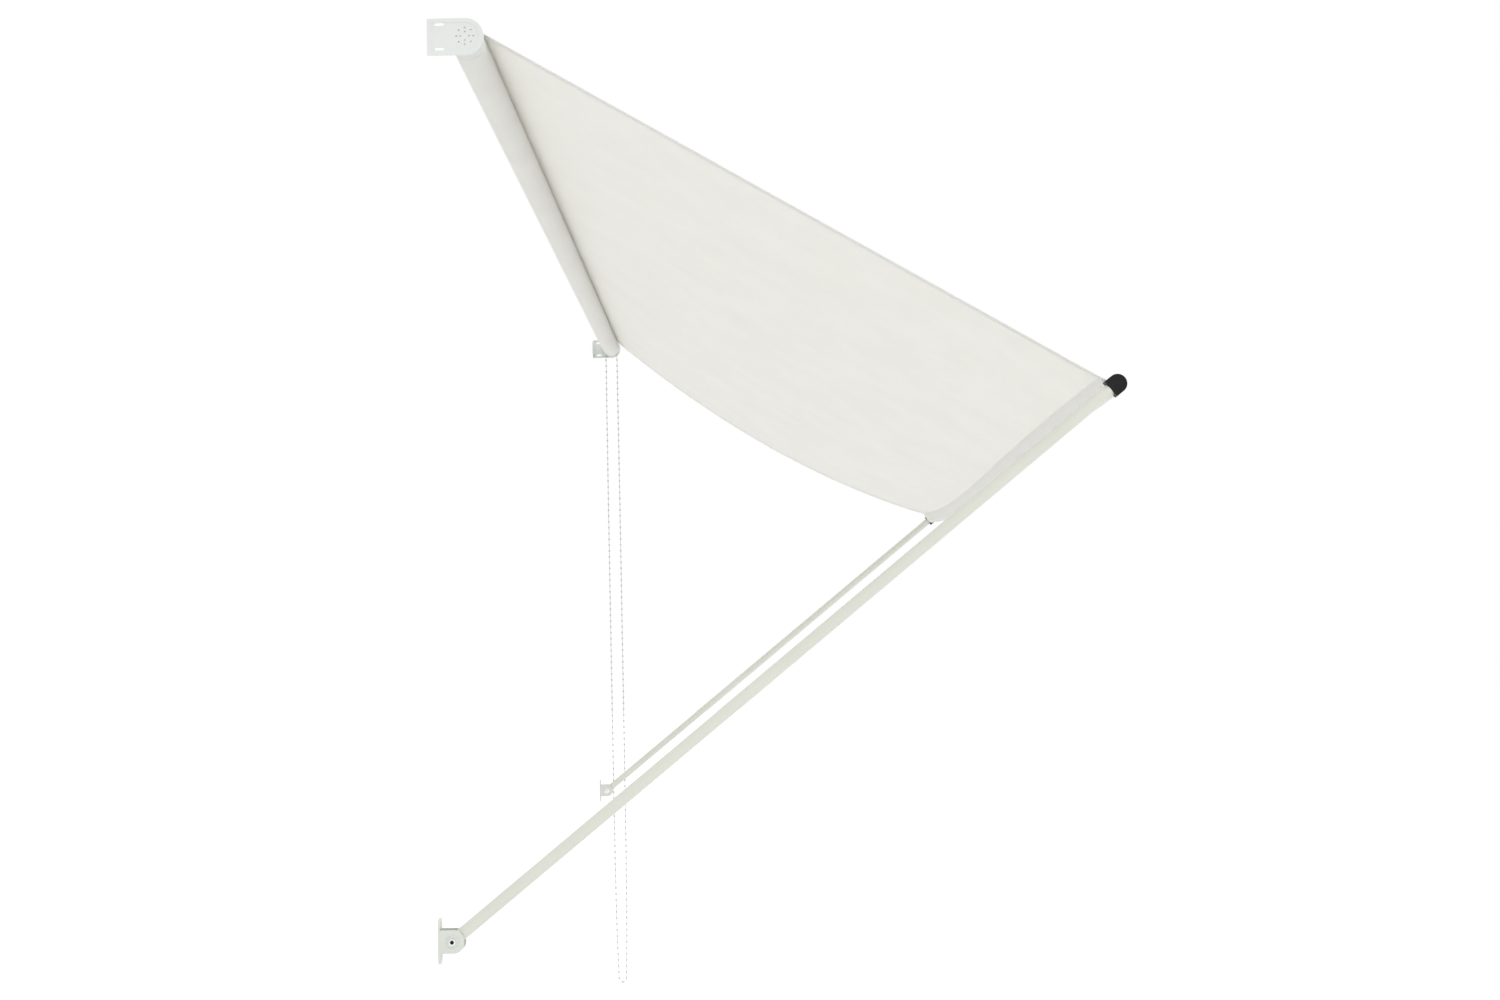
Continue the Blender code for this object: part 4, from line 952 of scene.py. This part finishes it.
def make_arm(word, side):
    start, end = 0.016 + SKIN, ARM_LENGTH - CAP_FLAT - SKIN
    tube = rod(
        "arm_pole_" + word, ARM_R, arm_place(side, start), arm_place(side, end), 64, ARM_R - ARM_WALL)
    dress(eased(tube, 0.0004), "arms", ARM_CREAM, "arm_paint", "arm_tube_" + word)
    for label, along in (("foot", FOOT_FLAT + 0.018), ("top", ARM_LENGTH - CAP_FLAT - 0.018)):
        low = ARM_R + SKIN * 0.5
        dome = rod(
            f"rivet_{label}_{word}", RIVET_HEAD_R, arm_place(side, along, low),
            arm_place(side, along, low + RIVET_HEAD), 32)
        stem = rod(
            f"rivet_stem_{label}_{word}", RIVET_STEM_R, arm_place(side, along, ARM_R / 2),
            arm_place(side, along, low + 0.0004), 24)
        rivet = eased(join(dome, stem), 0.00045, 3)
        dress(rivet, "arms", ZINC, "bare_metal", f"arm_rivet_{label}_{word}")
    c, s = math.cos(ARM_ANGLE), math.sin(ARM_ANGLE)
    eye = arc(ARM_R, ARM_ANGLE + math.pi / 2, ARM_ANGLE + 3 * math.pi / 2, 40)
    shoulder = [
        (FOOT_FLAT * c + ARM_R * s, FOOT_FLAT * s - ARM_R * c),
        (FOOT_FLAT * c - ARM_R * s, FOOT_FLAT * s + ARM_R * c),
    ]
    x = inset(side, ARM_INSET)
    foot = side_solid(
        "pivot_foot_" + word, [eye + shoulder, circle(FOOT_BORE_R, 32)], x - ARM_R, x + ARM_R, PIVOT_AXIS)
    spigot = rod(
        "foot_spigot_" + word, ARM_R - ARM_WALL - SPIGOT_PLAY,
        arm_place(side, 0.014), arm_place(side, 0.046), 48)
    foot = eased(join(foot, spigot), 0.0006)
    dress(foot, "arms", BLACK_PLASTIC, "black_plastic", "arm_foot_" + word)


def make_end_cap(word, side):
    """D-shaped moulding with round shoulders and a shallow dish in its outer face."""
    near, far = ARM_INSET - CAP_THICK / 2, ARM_INSET + CAP_THICK / 2
    rounded = arc(CAP_R, -math.pi / 2, math.pi / 2, 48)
    outline = rounded + [(-CAP_FLAT, CAP_R), (-CAP_FLAT, -CAP_R)]
    block = side_solid("cap_" + word, [outline], inset(side, near), inset(side, far), BAR_AXIS, ARM_ANGLE)
    dish_r, dish_back = CAP_R - 0.0048, -CAP_FLAT + 0.005
    dish = arc(dish_r, -math.pi / 2, math.pi / 2, 40) + [(dish_back, dish_r), (dish_back, -dish_r)]
    hollow = side_solid(
        "cap_dish_" + word, [dish], inset(side, near - 0.002), inset(side, near + 0.0007),
        BAR_AXIS, ARM_ANGLE)
    block = cut(block, hollow)
    in_bar = rod(
        "cap_in_bar_" + word, BAR_R - 0.0020, place(inset(side, far - 0.002), *BAR_AXIS),
        place(inset(side, far + 0.030), *BAR_AXIS), 48)
    in_arm = rod(
        "cap_in_arm_" + word, ARM_R - ARM_WALL - SPIGOT_PLAY,
        arm_place(side, ARM_LENGTH - CAP_FLAT - 0.030),
        arm_place(side, ARM_LENGTH - CAP_FLAT + 0.003), 48)
    block = eased(join(block, in_bar, in_arm), 0.0010, 3, 45.0)
    dress(block, "arms", BLACK_PLASTIC, "black_plastic", "end_cap_" + word)


def make_chain_drive():
    back = CHEEK_PLATE + SKIN
    base = lathe("drive_plate", [
        (0.0, back), (0.0338, back), (BASE_R, back + 0.0005), (BASE_R, back + 0.0025),
        (0.0338, back + 0.003),
        (0.009, back + 0.003), (0.009, 0.058), (0.0078, 0.058), (0.0078, 0.0596), (0.009, 0.0596),
        (0.009, 0.0634), (0.0084, 0.064), (0.0, 0.064),
    ], RIGHT, ROLLER_AXIS)
    dress(smooth(base, 30), "wall_parts", GREY_PLASTIC, "grey_plastic", "drive_base")
    near = back + 0.003 + SKIN
    start = CHEEK_DEPTH + SKIN
    ledge = (GUARD_FACE - start) / 3
    soft = 0.0005
    profile = [(BASE_R, near), (BASE_R, start)]
    for i in range(3):
        radius = GUARD_R - i * GUARD_STEP
        a, b = start + i * ledge, start + (i + 1) * ledge
        profile += [(radius - soft, a), (radius, a + soft), (radius, b - soft), (radius - soft, b)]
    profile += [
        (0.0165, GUARD_FACE), (0.0160, GUARD_FACE - 0.0006), (GUARD_BORE, GUARD_FACE - 0.0006),
        (GUARD_BORE, GUARD_FACE - 0.0028), (GUARD_HOLLOW_R, GUARD_FACE - 0.0028), (GUARD_HOLLOW_R, near),
    ]
    guard = lathe("drive_housing", profile, RIGHT, ROLLER_AXIS, 96)
    play = CHAIN_R + 0.0014
    mouths = []
    for i, way in enumerate((-1, 1)):
        middle = way * WHEEL_PITCH_R
        mouths.append(side_solid(
            f"mouth_{i}", [rectangle(middle - play, middle + play, -0.041, -0.006)],
            inset(RIGHT, CHAIN_INSET - play), inset(RIGHT, CHAIN_INSET + play), ROLLER_AXIS))
    guard = smooth(cut(guard, *mouths), 28)
    dress(guard, "wall_parts", WHITE_PLASTIC, "white_plastic", "chain_guard")


def plug_profile(face, shell):
    """Collar over the tube's bare end, and the shell inside the tube, as (radius, depth) places."""
    collar, end = ROLL_R - 0.0005, CLOTH_INSET - 0.0010
    shoulder = face + 0.003
    return [
        (collar - 0.0006, face), (collar, face + 0.0006), (collar, end - 0.0005), (collar - 0.0005, end),
        (TUBE_R + SKIN, end), (TUBE_R + SKIN, shoulder), (PLUG_R, shoulder), *shell,
    ]


def key_notch(name, side, near, far):
    """Room for the wall of the tube's cloth channel."""
    return side_solid(
        name, [rectangle(-KEY_HALF, KEY_HALF, KEY_FLOOR, TUBE_R)], inset(side, near), inset(side, far),
        ROLLER_AXIS)


def make_plugs():
    face, shoulder, end = IDLER_FACE, IDLER_FACE + 0.003, IDLER_FACE + 0.036
    idler = lathe("idler_collar", plug_profile(face, [
        (PLUG_R, end - 0.001), (PLUG_R - 0.001, end), (PLUG_R - 0.003, end),
        (PLUG_R - 0.003, shoulder + 0.003),
        (0.00935, shoulder + 0.003), (0.00935, end), (0.00635, end), (0.00635, face),
    ]), LEFT, ROLLER_AXIS, 96)
    idler = smooth(cut(idler, key_notch("idler_notch", LEFT, shoulder, end + 0.002)), 30)
    dress(idler, "roller", WHITE_PLASTIC, "white_plastic", "idler_plug")

    face, shoulder, end = 0.024, 0.027, 0.058
    drive = lathe("drive_collar", plug_profile(face, [
        (PLUG_R, end - 0.001), (PLUG_R - 0.001, end), (0.00935, end), (0.00935, end - 0.003),
        (0.0134, end - 0.003), (0.0134, 0.0443), (0.00935, 0.0443), (0.00935, face),
    ]), RIGHT, ROLLER_AXIS, 96)
    socket = side_solid(
        "hub_socket", [circle(0.0135, 6)], inset(RIGHT, 0.022), inset(RIGHT, 0.0443), ROLLER_AXIS)
    notch = key_notch("drive_notch", RIGHT, shoulder, end + 0.002)
    dress(smooth(cut(drive, socket, notch), 30), "roller", WHITE_PLASTIC, "white_plastic", "drive_plug")


def make_idler():
    back = CHEEK_PLATE + SKIN
    pin = lathe("idler_journal", [
        (0.0, back), (0.0216, back), (0.022, back + 0.0004), (0.022, back + 0.0021), (0.0216, back + 0.0025),
        (0.006, back + 0.0025), (0.006, 0.048), (0.0048, 0.048), (0.0048, 0.0496), (0.006, 0.0496),
        (0.006, 0.0545), (0.0055, 0.055), (0.0, 0.055),
    ], LEFT, ROLLER_AXIS)
    dress(smooth(pin, 30), "wall_parts", ZINC, "bare_metal", "idler_pin")


# Bead chain

def curve_point(a, b, c, d, w):
    knots = [0.0]
    for p, q in ((a, b), (b, c), (c, d)):
        knots.append(knots[-1] + max(math.dist(p, q), 1e-9) ** 0.5)
    t = knots[1] + (knots[2] - knots[1]) * w

    def mix(p, q, low, high):
        share = (t - low) / (high - low)
        return tuple(x + (y - x) * share for x, y in zip(p, q))

    t0, t1, t2, t3 = knots
    ab, bc, cd = mix(a, b, t0, t1), mix(b, c, t1, t2), mix(c, d, t2, t3)
    return mix(mix(ab, bc, t0, t2), mix(bc, cd, t1, t3), t1, t2)


def chain_route():
    """Outward and upward places along the chain, from one side of the wheel's top to the other."""
    quarter = math.pi / 2
    down = [(ROLLER_OUT - aside, drop) for aside, drop in CHAIN_STRAND]
    up = [(ROLLER_OUT + aside, drop) for aside, drop in CHAIN_STRAND[-2::-1]]
    hang = down + up
    before = tuple(2 * x - y for x, y in zip(hang[0], hang[1]))
    after = tuple(2 * x - y for x, y in zip(hang[-1], hang[-2]))
    ends = [before, *hang, after]
    fine = [
        curve_point(a, b, c, d, i / 24)
        for a, b, c, d in zip(ends, ends[1:], ends[2:], ends[3:]) for i in range(24)
    ]
    back = arc(WHEEL_PITCH_R, quarter + CHAIN_SPLIT, 2 * quarter, 24, ROLLER_AXIS)
    front = arc(WHEEL_PITCH_R, 0.0, quarter - CHAIN_SPLIT, 24, ROLLER_AXIS)
    return back[:-1] + fine + front


def make_chain():
    route = [place(inset(RIGHT, CHAIN_INSET), *p) for p in chain_route()]
    runs = [0.0]
    for p, q in zip(route, route[1:]):
        runs.append(runs[-1] + (q - p).length)
    total = runs[-1]
    beads = round(total / BEAD_PITCH)
    pitch = total / beads
    sides = 12
    verts, faces, k = [], [], 0
    rings = []
    for b in range(beads):
        middle = (b + 0.5) * pitch
        rings.append((middle - pitch * 0.36, LINK_R))
        for degrees in (-72, -52, -30, -10, 10, 30, 52, 72):
            turn = math.radians(degrees)
            rings.append((middle + BEAD_HALF * math.sin(turn), max(CHAIN_R * math.cos(turn), LINK_R)))
        rings.append((middle + pitch * 0.36, LINK_R))
    for at, radius in rings:
        while k < len(runs) - 2 and runs[k + 1] < at:
            k += 1
        share = (at - runs[k]) / max(runs[k + 1] - runs[k], 1e-9)
        centre = route[k].lerp(route[k + 1], share)
        along = (route[min(k + 2, len(route) - 1)] - route[max(k - 1, 0)]).normalized()
        across = Vector((1, 0, 0))
        third = along.cross(across)
        for y, z in circle(radius, sides):
            verts.append(centre + across * y + third * z)
    for r in range(len(rings) - 1):
        for i in range(sides):
            j = (i + 1) % sides
            a, b = r * sides, (r + 1) * sides
            faces.append((a + i, a + j, b + j, b + i))
    last = (len(rings) - 1) * sides
    faces.append(tuple(range(sides))[::-1])
    faces.append(tuple(range(last, last + sides)))
    chain = smooth(face_out(mesh_piece("chain_of_beads", verts, faces)), 75)
    dress(chain, "wall_parts", BEAD_PLASTIC, "chain_plastic", "bead_chain")


# Stage

FLOOR_Z = -2.78
FLOOR_HALF = 40.0


def make_stage():
    corners = rectangle(-FLOOR_HALF, FLOOR_HALF, -FLOOR_HALF, FLOOR_HALF)
    floor = mesh_piece("floor", [(x, y, FLOOR_Z) for x, y in corners], [(0, 1, 2, 3)])
    mat, tree, shader = new_material("floor_white", roughness=0.9)
    shader.inputs["Base Color"].default_value = (0.85, 0.85, 0.85, 1.0)
    shader.inputs["Specular IOR Level"].default_value = 0.1
    seen = add(tree, "LightPath")
    shown = math_node(tree, "MAXIMUM", seen.outputs["Is Camera Ray"], seen.outputs["Is Glossy Ray"])
    glow = add(tree, "Emission", {"Color": (1, 1, 1, 1), "Strength": ramp(tree, shown, 0.0, 1.0, 0.10, 0.35)})
    both = add(tree, "AddShader", {0: shader.outputs[0], 1: glow.outputs[0]})
    tree.links.new(both.outputs[0], tree.nodes["Material Output"].inputs["Surface"])
    floor.data.materials.append(mat)

    world = bpy.data.worlds.new("Studio")
    bpy.context.scene.world = world
    world.use_nodes = True
    tree = world.node_tree
    seen = add(tree, "LightPath")
    shown = math_node(tree, "MAXIMUM", seen.outputs["Is Camera Ray"], seen.outputs["Is Glossy Ray"])
    way = add(tree, "SeparateXYZ", {0: add(tree, "TexCoord").outputs["Generated"]})
    wall_side = ramp(tree, way.outputs["Y"], -0.3, 1.0, 0.96, 0.92)
    strength = ramp(tree, shown, 0.0, 1.0, wall_side, 1.0)
    tree.links.new(strength, tree.nodes["Background"].inputs["Strength"])
    tree.nodes["Background"].inputs["Color"].default_value = (1, 1, 1, 1)

    for name, place_at, target, size, power in (
        ("key", (-5.0, -7.5, 4.5), (0.0, -0.7, -0.9), 4.0, 110.0),
    ):
        light = bpy.data.lights.new(name, "AREA")
        light.energy = power
        light.size = size
        lamp = bpy.data.objects.new(name, light)
        bpy.context.scene.collection.objects.link(lamp)
        lamp.location = place_at
        way = Vector(target) - Vector(place_at)
        lamp.rotation_euler = way.to_track_quat("-Z", "Y").to_euler()


def make_camera():
    """Camera fitted to the photograph: beyond the left end, below the roller, looking along +X."""
    yaw, pitch, roll = -0.00091, 0.07997, -0.02422
    look = Vector((math.cos(pitch) * math.cos(yaw), math.cos(pitch) * math.sin(yaw), math.sin(pitch)))
    right = look.cross(Vector((0, 0, 1))).normalized()
    up = right.cross(look)
    right, up = (
        right * math.cos(roll) + up * math.sin(roll),
        up * math.cos(roll) - right * math.sin(roll),
    )
    data = bpy.data.cameras.new("camera")
    data.sensor_fit = "HORIZONTAL"
    data.sensor_width = 36.0
    data.lens = 1849.804 / 1500 * 36.0
    data.clip_start = 0.05
    data.clip_end = 200.0
    camera = bpy.data.objects.new("camera", data)
    bpy.context.scene.collection.objects.link(camera)
    matrix = Matrix.Identity(4)
    for column, axis in enumerate((right, up, -look, Vector((-5.7218, -0.63903, -1.27143)))):
        for row in range(3):
            matrix[row][column] = axis[row]
    camera.matrix_world = matrix
    bpy.context.scene.camera = camera


def repaint_frame():
    """Finishes for the CAD nodes that still show."""
    finishes = {
        "front_bar": ARM_CREAM, "roller_tube": ALUMINIUM,
        "chain_wheel": WHITE_PLASTIC, "spline_rod": WHITE_PLASTIC,
        "idler_ring": SPRING_STEEL, "drive_ring": SPRING_STEEL, "clutch_spring": SPRING_STEEL,
    }
    for name, material in finishes.items():
        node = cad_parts[name]
        for spot in node.material_slots:
            spot.material = material


make_camera()
make_chain()
make_sheet()
make_roll()
make_hem()
for word, side in SIDES.items():
    make_roller_bracket(word, side)
    make_arm_bracket(word, side)
    make_pivot(word, side)
    make_arm(word, side)
    make_end_cap(word, side)
make_chain_drive()
make_idler()
make_plugs()
repaint_frame()
make_stage()
bpy.context.scene.view_settings.view_transform = "Standard"
